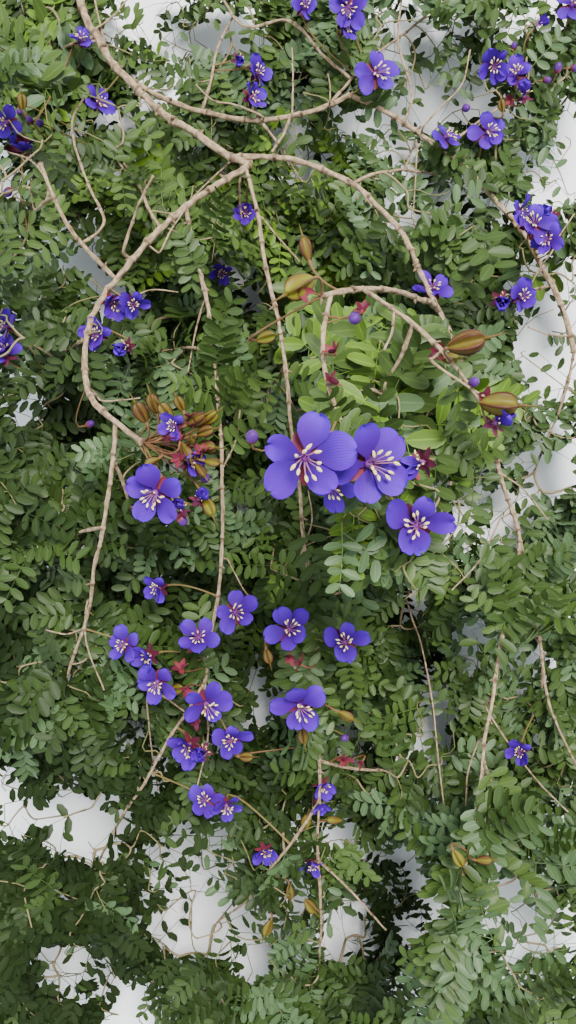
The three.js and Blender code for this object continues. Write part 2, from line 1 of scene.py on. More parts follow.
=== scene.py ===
# %% [markdown]
# A flowering guayacan branch, cut from its tree and laid on a pale floor, seen from straight above. The real
# one is hard, knotty wood that forks every few centimetres, under thousands of small paired leaves. They
# could be placed by hand, one by one, but that would take weeks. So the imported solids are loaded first, and
# the shown limbs, twigs, leaves, blooms and pods are grown over them by rules with fixed seeds.

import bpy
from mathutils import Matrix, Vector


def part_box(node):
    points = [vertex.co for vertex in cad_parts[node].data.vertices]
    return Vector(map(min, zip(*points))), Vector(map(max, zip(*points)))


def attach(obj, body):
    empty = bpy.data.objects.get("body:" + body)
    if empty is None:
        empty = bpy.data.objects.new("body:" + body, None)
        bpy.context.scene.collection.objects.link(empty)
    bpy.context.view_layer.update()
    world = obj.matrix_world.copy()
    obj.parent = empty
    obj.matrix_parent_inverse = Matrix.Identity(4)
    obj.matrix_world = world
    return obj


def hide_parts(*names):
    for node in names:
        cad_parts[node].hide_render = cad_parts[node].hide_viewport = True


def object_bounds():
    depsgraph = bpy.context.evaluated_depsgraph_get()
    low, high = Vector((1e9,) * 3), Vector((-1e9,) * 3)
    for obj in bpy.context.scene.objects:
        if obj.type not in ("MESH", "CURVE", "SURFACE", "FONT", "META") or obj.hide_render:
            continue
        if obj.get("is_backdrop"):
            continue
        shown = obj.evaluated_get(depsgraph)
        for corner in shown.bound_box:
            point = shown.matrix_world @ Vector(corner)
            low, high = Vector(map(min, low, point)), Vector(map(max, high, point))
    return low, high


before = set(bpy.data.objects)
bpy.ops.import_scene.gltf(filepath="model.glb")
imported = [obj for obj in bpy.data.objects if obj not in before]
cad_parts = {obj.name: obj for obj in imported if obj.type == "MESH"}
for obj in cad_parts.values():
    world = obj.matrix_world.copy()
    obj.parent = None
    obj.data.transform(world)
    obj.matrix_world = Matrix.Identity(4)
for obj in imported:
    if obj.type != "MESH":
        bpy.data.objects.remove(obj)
cad_low, cad_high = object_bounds()
print("solids:", len(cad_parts), "nodes")

# %% Imports
import math

import bmesh
import bpy
import numpy as np
from mathutils import Matrix, Vector
from mathutils.kdtree import KDTree

# %% [markdown]
# Lengths below are in millimetres. The layout is given as an eye straight above the branch sees it: a pixel
# of the picture and a height above the floor give one place. Three coordinates would do as well, but a pixel
# can be read off a picture, and only the height is then left to judge. MOVED is how far the solids were moved
# to stand over the origin.

# %% Driving sizes
MM = 0.001
PICTURE_ACROSS, PICTURE_DOWN = 576, 1024
CENTRE_ACROSS, CENTRE_DOWN = PICTURE_ACROSS / 2, PICTURE_DOWN / 2
EYE_HEIGHT = 565.0
FOCAL_PIXELS = 750.0
MOVED = np.array([-0.2758, -7.5534, -0.5233])
UP = np.array([0.0, 0.0, 1.0])
print("floor seen across the picture:", round(PICTURE_ACROSS * EYE_HEIGHT / FOCAL_PIXELS), "mm")

# %% [markdown]
# The limbs of the real branch are round, pale and knotty. A curve could be drawn for each by hand, but a row
# of numbers is shorter, and can be corrected without drawing again. It gives the limb that carries this one,
# where along it, the pixel and height of its tip, how far its middle stands off a straight line, its two end
# radii, and the stretch that is seen bare. Leaves may cover the rest.

# %% The limbs
LIMBS = {
    "main_stem": (None, 0, (250, 165), 125, (-24, -17, 4), (3.2, 2.5), (0, 1)),
    "left_bough_upper": ("main_stem", 1, (91, 318), 150, (-6, 6, 0), (2.3, 2), (0, 1)),
    "left_bough_lower": ("left_bough_upper", 1, (143, 442), 190, (-14, -6, 2), (2, 1.8), (0, 1)),
    "right_bough": ("main_stem", 0.95, (416, 262), 140, (11, 19, 0), (2, 1.8), (0, 1)),
    "right_bough_lower": ("right_bough", 1, (540, 640), 95, (6, 4, 8), (1.8, 1.4), (0, 0.1)),
    "mid_twig": ("main_stem", 0.985, (318, 860), 112, (12, 0, 30), (1.5, 1), (0, 0.45)),
    "top_bough": ("main_stem", 0.56, (350, 95), 92, (0, -18, -6), (2, 1.9), (0.25, 1)),
    "right_edge_bough": ("top_bough", 1, (574, 352), 75, (22, 16, 0), (1.9, 2.2), (0.58, 1)),
    "left_edge_twig": ("left_bough_upper", 0.8, (40, 163), 172, (-4, -4, 4), (1.5, 1.2), (0, 1)),
    "centre_twig": ("left_bough_upper", 0.35, (204, 690), 122, (16, 0, 6), (1.6, 1.2), (0.5, 0.88)),
    "hanging_twig": ("left_bough_lower", 0.8, (84, 628), 135, (3, 0, 6), (1.5, 1.2), (0, 0.95)),
    "front_bough": ("right_bough_lower", 0.12, (322, 296), 248, (0, 2, 14), (1.8, 1.5), (0, 1)),
    "front_twig_down": ("front_bough", 0.96, (366, 462), 262, (-9, -4, 6), (1.3, 1.1), (0, 0.3)),
    "front_twig_right": ("front_bough", 0.8, (482, 404), 262, (-2, 4, 8), (1.3, 1), (0.1, 0.6)),
    "right_low_twig": ("right_bough_lower", 0.72, (452, 965), 168, (-6, 0, 14), (1.4, 1), (0, 0)),
}
CUT_END = ((68, -70), 60)
print("limbs:", len(LIMBS))

# %% [markdown]
# The real leaves hang in masses, each round a leafy twig. They could be scattered evenly, but then the light
# between the masses would be lost. So each mass has a row: the limb that it grows on, where along it, and
# the pixel and height at which its stem's tip is seen.

# %% The leafy masses
MASSES = {
    "leaves_top_left": ("main_stem", 0.42, (48, 62), 45),
    "leaves_top_middle": ("top_bough", 0.35, (240, 5), 50),
    "leaves_top_right": ("top_bough", 0.9, (432, 15), 50),
    "leaves_corner": ("right_edge_bough", 0.3, (540, 85), 60),
    "leaves_under_fork": ("top_bough", 0.6, (325, 222), 48),
    "leaves_left_upper": ("left_edge_twig", 0.75, (28, 235), 95),
    "leaves_crook": ("left_bough_upper", 0.5, (120, 155), 60),
    "leaves_right_upper": ("right_bough", 0.55, (435, 175), 50),
    "leaves_right_side": ("right_edge_bough", 0.8, (470, 305), 45),
    "leaves_left_middle": ("left_bough_lower", 0.15, (38, 392), 58),
    "leaves_inner_left": ("centre_twig", 0.3, (165, 350), 75),
    "leaves_inner_middle": ("mid_twig", 0.3, (265, 400), 62),
    "leaves_front": ("front_twig_right", 0.45, (378, 400), 222),
    "leaves_right_middle": ("right_edge_bough", 1, (535, 470), 48),
    "leaves_right_inner": ("right_bough_lower", 0.35, (405, 600), 60),
    "leaves_left_low": ("hanging_twig", 0.45, (42, 548), 48),
    "leaves_under_left": ("hanging_twig", 0.15, (165, 560), 55),
    "leaves_under_middle": ("mid_twig", 0.6, (355, 590), 52),
    "leaves_right_low": ("right_bough_lower", 1, (530, 745), 45),
    "leaves_fan": ("hanging_twig", 1, (60, 725), 80),
    "leaves_low_left": ("centre_twig", 0.98, (70, 905), 48),
    "leaves_low_middle": ("mid_twig", 0.9, (215, 925), 42),
    "leaves_low_right": ("mid_twig", 0.84, (420, 770), 62),
    "leaves_bottom": ("mid_twig", 1, (320, 975), 42),
    "leaves_right_tip": ("right_low_twig", 1, (440, 1010), 90),
    "leaves_right_foot": ("right_low_twig", 0.55, (535, 895), 55),
}
print("leafy masses:", len(MASSES))

# %% [markdown]
# The larger blooms, which the solids have too. They could be dealt by chance like the leaves, but each is
# seen well enough to be placed. A row gives its pixel, height, diameter, the way it faces, its turn, its limb
# and where on it.

# %% The blooms of the solids
BLOOMS = {
    "bloom_front_left": ((306, 458), 304, 33, (-0.35, -0.1, 1), 10, "front_twig_down", 0.72),
    "bloom_front_right": ((368, 464), 297, 31, (0.3, -0.05, 1), 40, "front_twig_down", 0.94),
    "bloom_right": ((415, 524), 261, 30, (0.25, -0.3, 1), 5, "front_twig_down", 1),
    "bloom_left": ((156, 492), 206, 29, (-0.2, -0.3, 1), 22, "left_bough_lower", 0.9),
    "bloom_middle_a": ((236, 612), 146, 25, (-0.3, 0.2, 1), 30, "centre_twig", 0.82),
    "bloom_middle_b": ((290, 630), 178, 25, (-0.3, 0.4, 1), 50, "mid_twig", 0.64),
    "bloom_middle_c": ((344, 642), 168, 26, (0.35, 0, 1), 12, "mid_twig", 0.68),
    "bloom_middle_d": ((199, 638), 150, 23, (-0.1, 0.5, 1), 64, "centre_twig", 0.88),
    "bloom_low_a": ((206, 703), 148, 27, (0.2, -0.3, 1), 0, "centre_twig", 1),
    "bloom_low_b": ((300, 705), 182, 28, (-0.1, -0.3, 1), 33, "mid_twig", 0.78),
    "bloom_low_c": ((231, 739), 134, 24, (0.3, -0.2, 1), 15, "centre_twig", 1),
    "bloom_low_d": ((158, 681), 140, 24, (-0.3, -0.3, 1), 48, "centre_twig", 0.93),
    "bloom_top": ((375, 74), 114, 28, (0.1, -0.1, 1), 20, "top_bough", 1),
    "bloom_top_right": ((487, 133), 88, 24, (0, -0.1, 1), 36, "right_edge_bough", 0.42),
    "bloom_right_edge": ((533, 226), 118, 27, (0.1, 0.1, 1), 8, "right_edge_bough", 0.72),
}
print("blooms of the solids:", len(BLOOMS))

# %% [markdown]
# The pods that the solids have too: small winged fruits that turn from green to dark red as they ripen.
# Each could have a material of its own, but one tint from 0 to 1 in the mesh lets all share one. A row gives
# the node, pixel, height, the way the beak points, the limb and where on it, the size and the tint.

# %% The pods of the solids
PODS = [
    ("pod_front_left", (300, 286), 262, (-0.7, -0.5, 0.3), "front_bough", 1, 1, 0.0),
    ("pod_front_right", (466, 343), 270, (1, 0.2, 0.3), "front_twig_right", 0.74, 1, 0.75),
    ("pod_front_tip", (499, 404), 266, (1, -0.1, 0.2), "front_twig_right", 1, 1, 0.6),
    ("pods_left", (196, 420), 206, (1, 0.5, 0.3), "left_bough_lower", 1, 0.72, 0.9),
    ("pods_left", (206, 447), 200, (1, -0.1, 0.3), "left_bough_lower", 1, 0.72, 0.8),
    ("pods_left", (141, 413), 206, (-0.4, 0.8, 0.4), "left_bough_lower", 1, 0.72, 1.0),
]
POD = {"length": 15.0, "width": 11.0, "beak": 8.0}
print("pods of the solids:", len(PODS))

# %% [markdown]
# Half-open blooms, small pods, buds, and old blooms of which only the sepals are left. They could be solids
# too, but they are many and very fine, so only the shown branch has them. The rows give blooms (pixel, width
# in pixels, height, how far open), pods (pixel, height, the way the beak points, tint), and buds and old
# blooms (pixel, height).

# %% Small blooms, pods and buds
SMALL_BLOOMS = [
    ((334, 484), 62, 284, 1.0), ((424, 462), 46, 284, 0.1), ((494, 424), 40, 258, 0.2),
    ((445, 138), 36, 100, 1.0), ((432, 290), 42, 128, 0.7), ((520, 298), 38, 108, 0.6),
    ((500, 300), 30, 104, 0.3), ((8, 328), 38, 112, 0.8), ((6, 356), 34, 110, 0.5),
    ((132, 304), 36, 150, 0.9), ((112, 302), 30, 146, 0.4), ((97, 336), 30, 146, 0.5),
    ((128, 346), 26, 142, 0.3), ((8, 122), 38, 104, 0.9), ((22, 152), 30, 104, 0.3),
    ((348, 8), 42, 118, 0.8), ((344, 26), 26, 114, 0.3), ((304, 8), 34, 112, 0.6),
    ((82, 42), 32, 88, 0.8), ((98, 103), 34, 96, 0.7), ((256, 74), 34, 100, 0.6),
    ((250, 98), 28, 98, 0.5), ((238, 60), 20, 96, 0.2), ((520, 751), 32, 112, 0.6),
    ((322, 784), 26, 122, 0.4), ((318, 802), 24, 122, 0.3), ((264, 850), 26, 104, 0.4),
    ((312, 862), 30, 110, 0.6), ((492, 66), 32, 92, 0.5), ((516, 76), 36, 94, 0.6),
    ((524, 98), 26, 94, 0.2), ((206, 800), 40, 116, 0.9), ((226, 804), 34, 118, 0.7),
    ((190, 744), 38, 128, 0.5), ((203, 752), 28, 128, 0.2), ((126, 644), 38, 136, 0.7),
    ((150, 655), 34, 138, 0.5), ((548, 240), 36, 116, 0.8), ((520, 212), 34, 116, 0.7),
    ((552, 216), 26, 114, 0.3), ((188, 462), 30, 200, 0.3), ((175, 426), 34, 208, 0.6),
    ((198, 500), 26, 198, 0.2), ((182, 512), 24, 198, 0.2), ((222, 272), 28, 96, 0.6),
    ((245, 214), 24, 96, 0.4), ((160, 588), 28, 136, 0.5), ((572, 6), 40, 92, 1.0),
    ((536, 26), 20, 90, 0.1),
]
SMALL_PODS = [
    ((306, 249), 240, (-0.3, 1, 0.2), 0.75), ((266, 338), 226, (0.9, 0.2, 0.2), 0.1),
    ((450, 358), 250, (1, 0, 0.3), 0.45), ((303, 735), 168, (0.2, -1, 0.2), 0.8),
    ((346, 716), 156, (1, -0.5, 0.2), 0.35), ((290, 892), 98, (0.1, -1, 0.3), 0.4),
    ((334, 820), 122, (-0.9, 0.1, 0.2), 0.3), ((306, 822), 118, (0.2, 1, 0.3), 0.1),
    ((310, 906), 98, (0.8, -0.9, 0.2), 0.2), ((458, 858), 180, (0.5, -0.8, 0.2), 0.0),
    ((484, 860), 176, (0.9, 0.1, 0.2), 0.6), ((246, 757), 140, (0.8, 0.1, 0.3), 0.5),
    ((180, 404), 208, (-0.5, 1, 0.3), 0.6), ((205, 432), 206, (1, 0.3, 0.3), 0.8),
    ((186, 452), 204, (0.5, -1, 0.2), 0.7), ((166, 412), 208, (-0.6, 0.8, 0.4), 0.4),
    ((212, 462), 203, (1, -0.2, 0.3), 0.5), ((200, 470), 201, (0.6, -0.8, 0.3), 0.9),
    ((210, 418), 206, (0.8, 0.6, 0.3), 0.3), ((154, 404), 207, (-0.3, 1, 0.4), 0.9),
    ((192, 440), 207, (0.3, 0.2, 1), 0.6), ((208, 506), 197, (0.5, -1, 0.3), 0.2),
    ((152, 462), 202, (-0.9, -0.5, 0.3), 0.55), ((22, 102), 100, (0, 1, 0.3), 0.5),
    ((502, 106), 98, (-0.3, 1, 0.4), 0.7), ((176, 690), 140, (0.8, 0.3, 0.3), 0.5),
    ((268, 928), 92, (-0.5, -1, 0.3), 0.3), ((268, 656), 172, (0.3, -1, 0.3), 0.8),
]
SMALL_BUDS = [
    ((252, 437), 290), ((474, 382), 264), ((40, 123), 104), ((30, 120), 104), ((8, 192), 100),
    ((19, 112), 102), ((355, 318), 262), ((182, 520), 196), ((205, 478), 196), ((150, 400), 204),
    ((558, 68), 92), ((547, 80), 92), ((514, 46), 90), ((575, 68), 92), ((90, 424), 150),
    ((192, 648), 140), ((466, 108), 96), ((345, 738), 150),
]
OLD_BLOOMS = [
    ((362, 310), 262), ((334, 352), 262), ((330, 380), 264), ((440, 352), 250), ((486, 398), 262),
    ((165, 436), 205), ((180, 440), 207), ((192, 418), 207), ((202, 452), 204), ((178, 458), 204),
    ((290, 656), 170), ((300, 664), 170), ((345, 758), 140), ((362, 762), 140), ((180, 668), 140),
    ((300, 290), 262), ((412, 466), 280), ((24, 140), 104), ((12, 150), 103), ((196, 722), 140),
    ((306, 720), 176), ((186, 690), 142), ((512, 100), 96), ((252, 64), 98),
]
print("small things:", len(SMALL_BLOOMS), len(SMALL_PODS), len(SMALL_BUDS), len(OLD_BLOOMS))

# %% [markdown]
# Thin woody side twigs, some of them bare. The rule that grows the leafy ones could make these as well, but
# they are seen against the light, so their course counts. A row gives the pixels along the twig, the heights
# of its ends, and its radius. It leaves the nearest limb or mass stem, close to its first pixel.

# %% Side twigs
SIDE_TWIGS = [
    (((106, 50), (100, 24), (94, -4)), (84, 84), 1.0),
    (((98, 33), (112, 17), (130, -4)), (84, 88), 0.9),
    (((104, 222), (88, 184), (74, 142), (73, 118), (84, 98)), (148, 118), 1.1),
    (((124, 252), (135, 215), (140, 202), (153, 176)), (146, 172), 1.2),
    (((160, 252), (170, 232), (187, 206)), (142, 138), 0.8),
    (((292, 116), (293, 80), (292, 48)), (104, 104), 0.9),
    (((330, 100), (330, 86), (328, 74)), (104, 106), 0.7),
    (((262, 116), (232, 104), (214, 101), (196, 85)), (104, 100), 0.9),
    (((236, 158), (215, 176), (190, 200)), (116, 104), 0.9),
    (((240, 182), (240, 205), (244, 232)), (112, 92), 1.2),
    (((262, 218), (283, 243), (300, 262)), (120, 104), 0.8),
    (((344, 176), (352, 181), (372, 206)), (134, 138), 0.6),
    (((290, 118), (283, 135), (272, 152)), (100, 96), 1.5),
    (((300, 28), (284, 20), (252, 27), (238, 22), (222, -3)), (98, 84), 1.4),
    (((404, 122), (412, 96), (398, 40), (402, -4)), (100, 88), 1.1),
    (((416, 140), (416, 170), (413, 214)), (104, 100), 0.7),
    (((424, 126), (440, 108), (462, 84), (470, 50)), (98, 92), 0.8),
    (((553, 250), (540, 268), (528, 290)), (104, 104), 0.7),
    (((574, 336), (550, 335), (528, 327)), (78, 82), 0.9),
    (((552, 246), (562, 232), (574, 214)), (104, 100), 0.8),
    (((398, 306), (392, 332), (384, 350)), (246, 262), 0.8),
    (((470, 388), (490, 400), (500, 404)), (264, 266), 0.7),
    (((430, 360), (446, 372), (470, 388)), (262, 264), 0.9),
    (((540, 640), (548, 700), (562, 736), (578, 768)), (96, 90), 1.3),
    (((486, 708), (512, 748), (540, 784), (568, 812)), (112, 104), 0.8),
    (((420, 640), (432, 700), (438, 756), (444, 806)), (84, 112), 0.8),
    (((478, 742), (468, 772), (466, 806)), (128, 122), 0.8),
    (((320, 862), (345, 885), (386, 930)), (112, 108), 1.0),
    (((84, 628), (66, 634), (46, 630)), (134, 130), 0.7),
    (((88, 600), (86, 640), (104, 690)), (138, 140), 0.8),
    (((150, 690), (150, 735), (158, 790)), (124, 92), 0.8),
    (((204, 690), (208, 735), (196, 792)), (120, 112), 0.9),
    (((46, 180), (30, 160), (8, 152)), (160, 128), 0.8),
    (((128, 300), (150, 290), (178, 292)), (146, 132), 0.6),
    (((100, 400), (122, 400), (140, 398)), (160, 172), 0.7),
    (((205, 300), (196, 330), (188, 372)), (128, 116), 0.8),
    (((222, 470), (236, 440), (240, 410)), (136, 140), 0.8),
    (((300, 560), (312, 520), (308, 490)), (140, 150), 0.7),
    (((228, 560), (244, 590), (252, 600)), (136, 140), 0.6),
    (((500, 520), (480, 560), (452, 590)), (124, 116), 0.8),
    (((506, 470), (524, 490), (548, 520)), (124, 110), 0.7),
]
print("side twigs:", len(SIDE_TWIGS))

# %% [markdown]
# The real limbs bend a little at each node, never twice alike. NumPy could draw such bends by chance, but the
# solids were made with another small generator. It is written out here, so that the shown limbs get the same
# bends as the solids under them.


# %% Seeded numbers
class Seeded:
    """Even numbers from 0 to 1, the same on every run."""

    def __init__(self, seed):
        self.state = seed & 0xFFFFFFFF

    def __call__(self):
        mask = 0xFFFFFFFF
        self.state = (self.state + 0x6D2B79F5) & mask
        mixed = ((self.state ^ (self.state >> 15)) * (1 | self.state)) & mask
        mixed = ((mixed + ((mixed ^ (mixed >> 7)) * (61 | mixed))) & mask) ^ mixed
        return ((mixed ^ (mixed >> 14)) & mask) / 4294967296


print("first number of the main stem:", round(Seeded(100)(), 4))


# %% Places and pixels
def unit(v):
    """A direction made 1 long."""
    v = np.asarray(v, float)
    return v / (np.linalg.norm(v) + 1e-12)


def seen(pixel, height):
    """The place of a thing seen at a pixel and known to lie at a height."""
    scale = (EYE_HEIGHT - height) / FOCAL_PIXELS
    return np.array([(pixel[0] - CENTRE_ACROSS) * scale, (CENTRE_DOWN - pixel[1]) * scale, height])


def pixels_of(points):
    """Where points are seen, as an array of pixels."""
    points = np.atleast_2d(points)
    scale = FOCAL_PIXELS / (EYE_HEIGHT - points[:, 2])
    return np.stack([CENTRE_ACROSS + points[:, 0] * scale, CENTRE_DOWN - points[:, 1] * scale], 1)


print("the cut end is at", seen(*CUT_END).round(1), "mm")

# %% [markdown]
# A limb's centre line is an arc with small knees in it, joined by a smooth curve, as in the solids. A Blender
# curve could hold it, but places and directions along it are asked for thousands of times. So it is a small
# class of its own: a function from 0 to 1 that can be walked by its length.


# %% A line walked by its length
class Line:
    """A smooth curve given by a function of t, walked by its length."""

    def __init__(self, place):
        self.place = place
        self.ts = np.linspace(0, 1, 201)
        points = np.array([place(t) for t in self.ts])
        steps = np.linalg.norm(np.diff(points, axis=0), axis=1)
        self.lengths = np.concatenate([[0], np.cumsum(steps)])
        self.length = self.lengths[-1]

    def t_at(self, share):
        return float(np.interp(share * self.length, self.lengths, self.ts))

    def at(self, share):
        return self.place(self.t_at(share))

    def tangent(self, share):
        t = self.t_at(share)
        return unit(self.place(min(1, t + 1e-4)) - self.place(max(0, t - 1e-4)))

    def spaced(self, count):
        return np.array([self.at(i / count) for i in range(count + 1)])

    def every(self, step):
        """Points about a step apart, from end to end."""
        return self.spaced(max(4, int(self.length / step)))


# %% Arcs and smooth curves
def arc(start, middle, end):
    """A curve from start to end that leans towards the middle point."""
    return Line(lambda t: (1 - t) ** 2 * start + 2 * t * (1 - t) * middle + t * t * end)


def smooth_through(points):
    """A centripetal Catmull-Rom curve through the points."""
    last = len(points) - 1

    def place(t):
        segment = min(int(t * last), last - 1)
        w = t * last - segment
        p1, p2 = points[segment], points[segment + 1]
        p0 = points[segment - 1] if segment > 0 else 2 * points[0] - points[1]
        p3 = points[segment + 2] if segment + 2 <= last else 2 * points[last] - points[last - 1]
        d0, d1, d2 = (np.sqrt(np.linalg.norm(b - a)) for a, b in ((p0, p1), (p1, p2), (p2, p3)))
        m1 = ((p1 - p0) / d0 - (p2 - p0) / (d0 + d1) + (p2 - p1) / d1) * d1
        m2 = ((p2 - p1) / d1 - (p3 - p1) / (d1 + d2) + (p3 - p2) / d2) * d1
        return p1 + m1 * w + (3 * (p2 - p1) - 2 * m1 - m2) * w**2 + (2 * (p1 - p2) + m1 + m2) * w**3

    return Line(place)


quarter = arc(np.array([1.0, 0, 0]), np.array([1.0, 1, 0]), np.array([0, 1.0, 0]))
print("an arc round a corner of 1 measures", round(quarter.length, 3))

# %% Lines with knees
JOINT_GAP = 0.42
KNEE_SPACING = 20.0
KNEE_OFFSET = 1.1


def kneed_line(start, tip, bow, random):
    """A line that bows off the straight one from start to tip, with small knees in it."""
    control = (start + tip) / 2 + 2 * np.asarray(bow, float)
    bent = arc(start, control, tip)
    knees = max(3, int(math.floor(bent.length / KNEE_SPACING + 0.5)))
    points = bent.spaced(knees)
    for i in range(knees + 1):
        offset = np.array([random() - 0.5, random() - 0.5, random() - 0.5])
        if 0 < i < knees:
            points[i] += 2 * KNEE_OFFSET * offset
    return smooth_through(points)


def line_from(carrier, share, tip, bow, seed):
    """A line that starts on its carrier, or just past the carrier's tip."""
    start = lines[carrier].at(share)
    if share == 1:
        start = start + JOINT_GAP * unit(tip - start)
    return kneed_line(start, tip, bow, Seeded(seed))


# %% Limb lines
lines = {}
for number, (name, (carrier, share, tip, height, bow, *_)) in enumerate(LIMBS.items()):
    if carrier is None:
        lines[name] = kneed_line(seen(*CUT_END), seen(tip, height), bow, Seeded(100 + number))
    else:
        lines[name] = line_from(carrier, share, seen(tip, height), bow, 100 + number)
print("limb lines:", len(lines), "total length", round(sum(line.length for line in lines.values())), "mm")

# %% Mass stem lines
stems = {}
for number, (name, (carrier, share, tip, height)) in enumerate(MASSES.items()):
    end = seen(tip, height)
    rise = 0.1 * np.linalg.norm(end - lines[carrier].at(share))
    stems[name] = line_from(carrier, share, end, (0, 0, rise), 300 + number)
print("mass stems:", len(stems), "total length", round(sum(s.length for s in stems.values())), "mm")

# %% Check the lines against the solids
for name in ("main_stem", "mid_twig", "left_bough_lower"):
    low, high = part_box(name)
    ends = (lines[name].spaced(40) + MOVED) * MM
    print(name, "line", ends.min(0).round(4), ends.max(0).round(4), "solid", list(low), list(high))

# %% [markdown]
# Thousands of leaves as objects of their own would make the scene slow, and so would joining them with an
# operator. So their corners are gathered as arrays, and each kind becomes one mesh. A batch keeps corners,
# faces of four corners, and for each corner a place on its leaf or petal and a shade. A face of three corners
# repeats its last one.


# %% Batches of faces
class Batch:
    """Corners, faces, places and shades of many small shapes."""

    def __init__(self):
        self.corners = []
        self.faces = []
        self.places = []
        self.shades = []
        self.count = 0

    def add(self, corners, faces, places=None, shade=0.0):
        corners = np.asarray(corners, float)
        self.corners.append(corners)
        self.faces.append(np.asarray(faces, int) + self.count)
        self.places.append(np.full((len(corners), 2), 0.5) if places is None else places)
        self.shades.append(np.broadcast_to(np.asarray(shade, float), (len(corners),)))
        self.count += len(corners)

    def triangles(self):
        return sum(2 * len(f) - np.count_nonzero(f[:, 2] == f[:, 3]) for f in self.faces)


# %% One object from a batch
def add_object(name, data):
    thing = bpy.data.objects.new(name, data)
    bpy.context.scene.collection.objects.link(thing)
    return thing


def build(name, batch, material):
    """One object from a batch: its corners in metres in the row frame, the object at the origin."""
    corners = (np.concatenate(batch.corners) + MOVED) * MM
    faces = np.concatenate(batch.faces)
    triangle = faces[:, 2] == faces[:, 3]
    sizes = np.where(triangle, 3, 4)
    loops = faces.ravel()[np.stack([np.ones_like(triangle)] * 3 + [~triangle], 1).ravel()]
    mesh = bpy.data.meshes.new(name)
    mesh.vertices.add(len(corners))
    mesh.vertices.foreach_set("co", corners.astype(np.float32).ravel())
    mesh.loops.add(len(loops))
    mesh.loops.foreach_set("vertex_index", loops.astype(np.int32))
    mesh.polygons.add(len(faces))
    mesh.polygons.foreach_set("loop_start", (np.cumsum(sizes) - sizes).astype(np.int32))
    mesh.polygons.foreach_set("use_smooth", np.ones(len(faces), bool))
    mesh.update(calc_edges=True)
    uv = mesh.uv_layers.new(name="place")
    uv.data.foreach_set("uv", np.concatenate(batch.places)[loops].astype(np.float32).ravel())
    shade = mesh.attributes.new("shade", "FLOAT", "POINT")
    shade.data.foreach_set("value", np.concatenate(batch.shades).astype(np.float32))
    mesh.materials.append(material)
    thing = add_object(name, mesh)
    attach(thing, "root")
    print(name, "triangles", batch.triangles())
    return thing


# %% [markdown]
# A shape is made once with bmesh operators, and read back as arrays to be placed many times. Limbs, twigs and
# stalks are tubes. A circle extruded ring by ring makes a tube as well, but there are thousands here, each
# with bends of its own, so one function works out all the rings of a tube at once.


# %% From bmesh to arrays
def arrays_of(bm):
    """Corners and faces of a bmesh; a three-cornered face repeats its last corner."""
    bm.verts.ensure_lookup_table()
    corners = np.array([v.co[:] for v in bm.verts])
    faces = []
    for face in bm.faces:
        ring = [v.index for v in face.verts]
        faces.append(ring if len(ring) == 4 else ring + [ring[-1]])
    bm.free()
    return corners, np.array(faces)


def turned(shape, place, facing, turn=0.0, size=1.0):
    """Corners of a shape made round +Z, turned to face a direction, and put at a place."""
    axis = Vector(facing).normalized()
    swing = Vector((0, 0, 1)).rotation_difference(axis).to_matrix()
    spin = Matrix.Rotation(math.radians(turn), 3, "Z")
    turned_by = np.array(swing @ spin)
    return (shape * size) @ turned_by.T + place


# %% Tubes
def tube(points, radii, sides, closed=True):
    """Corners and faces of a tube along points, with a radius for each, and closed round ends."""
    points = np.asarray(points, float)
    count = len(points)
    tangents = np.gradient(points, axis=0)
    tangents /= np.linalg.norm(tangents, axis=1, keepdims=True) + 1e-12
    side = unit(np.cross(tangents[0], UP if abs(tangents[0][2]) < 0.9 else np.array([1.0, 0, 0])))
    rings = []
    angles = np.arange(sides) * 2 * math.pi / sides
    cosines, sines = np.cos(angles)[:, None], np.sin(angles)[:, None]
    for i in range(count):
        side = unit(side - tangents[i] * (side @ tangents[i]))
        other = np.cross(tangents[i], side)
        radius = np.broadcast_to(radii[i], (sides,))[:, None]
        rings.append(points[i] + radius * (cosines * side + sines * other))
    ring = np.arange(sides)
    after = (ring + 1) % sides
    low = np.arange(count - 1)[:, None] * sides
    high = low + sides
    faces = np.stack([low + ring, low + after, high + after, high + ring], -1).reshape(-1, 4)
    if closed:
        rings.append(points[:1] - tangents[0] * 0.3 * np.mean(radii[0]))
        rings.append(points[-1:] + tangents[-1] * 0.5 * np.mean(radii[-1]))
        first, last = np.full(sides, count * sides), np.full(sides, count * sides + 1)
        top = (count - 1) * sides
        start_cap = np.stack([first, after, ring, ring], 1)
        end_cap = np.stack([last, top + ring, top + after, top + after], 1)
        faces = np.concatenate([faces, start_cap, end_cap])
    return np.concatenate(rings), faces


print("a closed tube of 3 rings and 6 sides has", len(tube(np.eye(3), np.ones(3), 6)[1]), "faces")

# %% [markdown]
# No finish of the real branch is one even colour: bark, leaves and petals are all a little blotchy. A picture
# could be wrapped round each piece, but noise in the object's own space needs no unwrapping, and holds from
# every side. All materials share it as one small node group, and a few short functions make their nodes.


# %% Node helpers
def spread_node(nodes, low, high, at_low=0.0, at_high=1.0):
    """A Map Range node that gives at_low at a value of low, and at_high at a value of high."""
    node = nodes.new("ShaderNodeMapRange")
    for socket, value in zip(("From Min", "From Max", "To Min", "To Max"), (low, high, at_low, at_high)):
        node.inputs[socket].default_value = value
    return node


def sum_node(nodes, operation, second=None):
    """A Math node, with its second number where that is fixed."""
    node = nodes.new("ShaderNodeMath")
    node.operation = operation
    if second is not None:
        node.inputs[1].default_value = second
    return node


def mix_node(nodes, towards=None):
    """A Mix node for colours, with the colour that it mixes towards where that is fixed."""
    node = nodes.new("ShaderNodeMix")
    node.data_type = "RGBA"
    if towards is not None:
        node.inputs["B"].default_value = (*towards, 1)
    return node


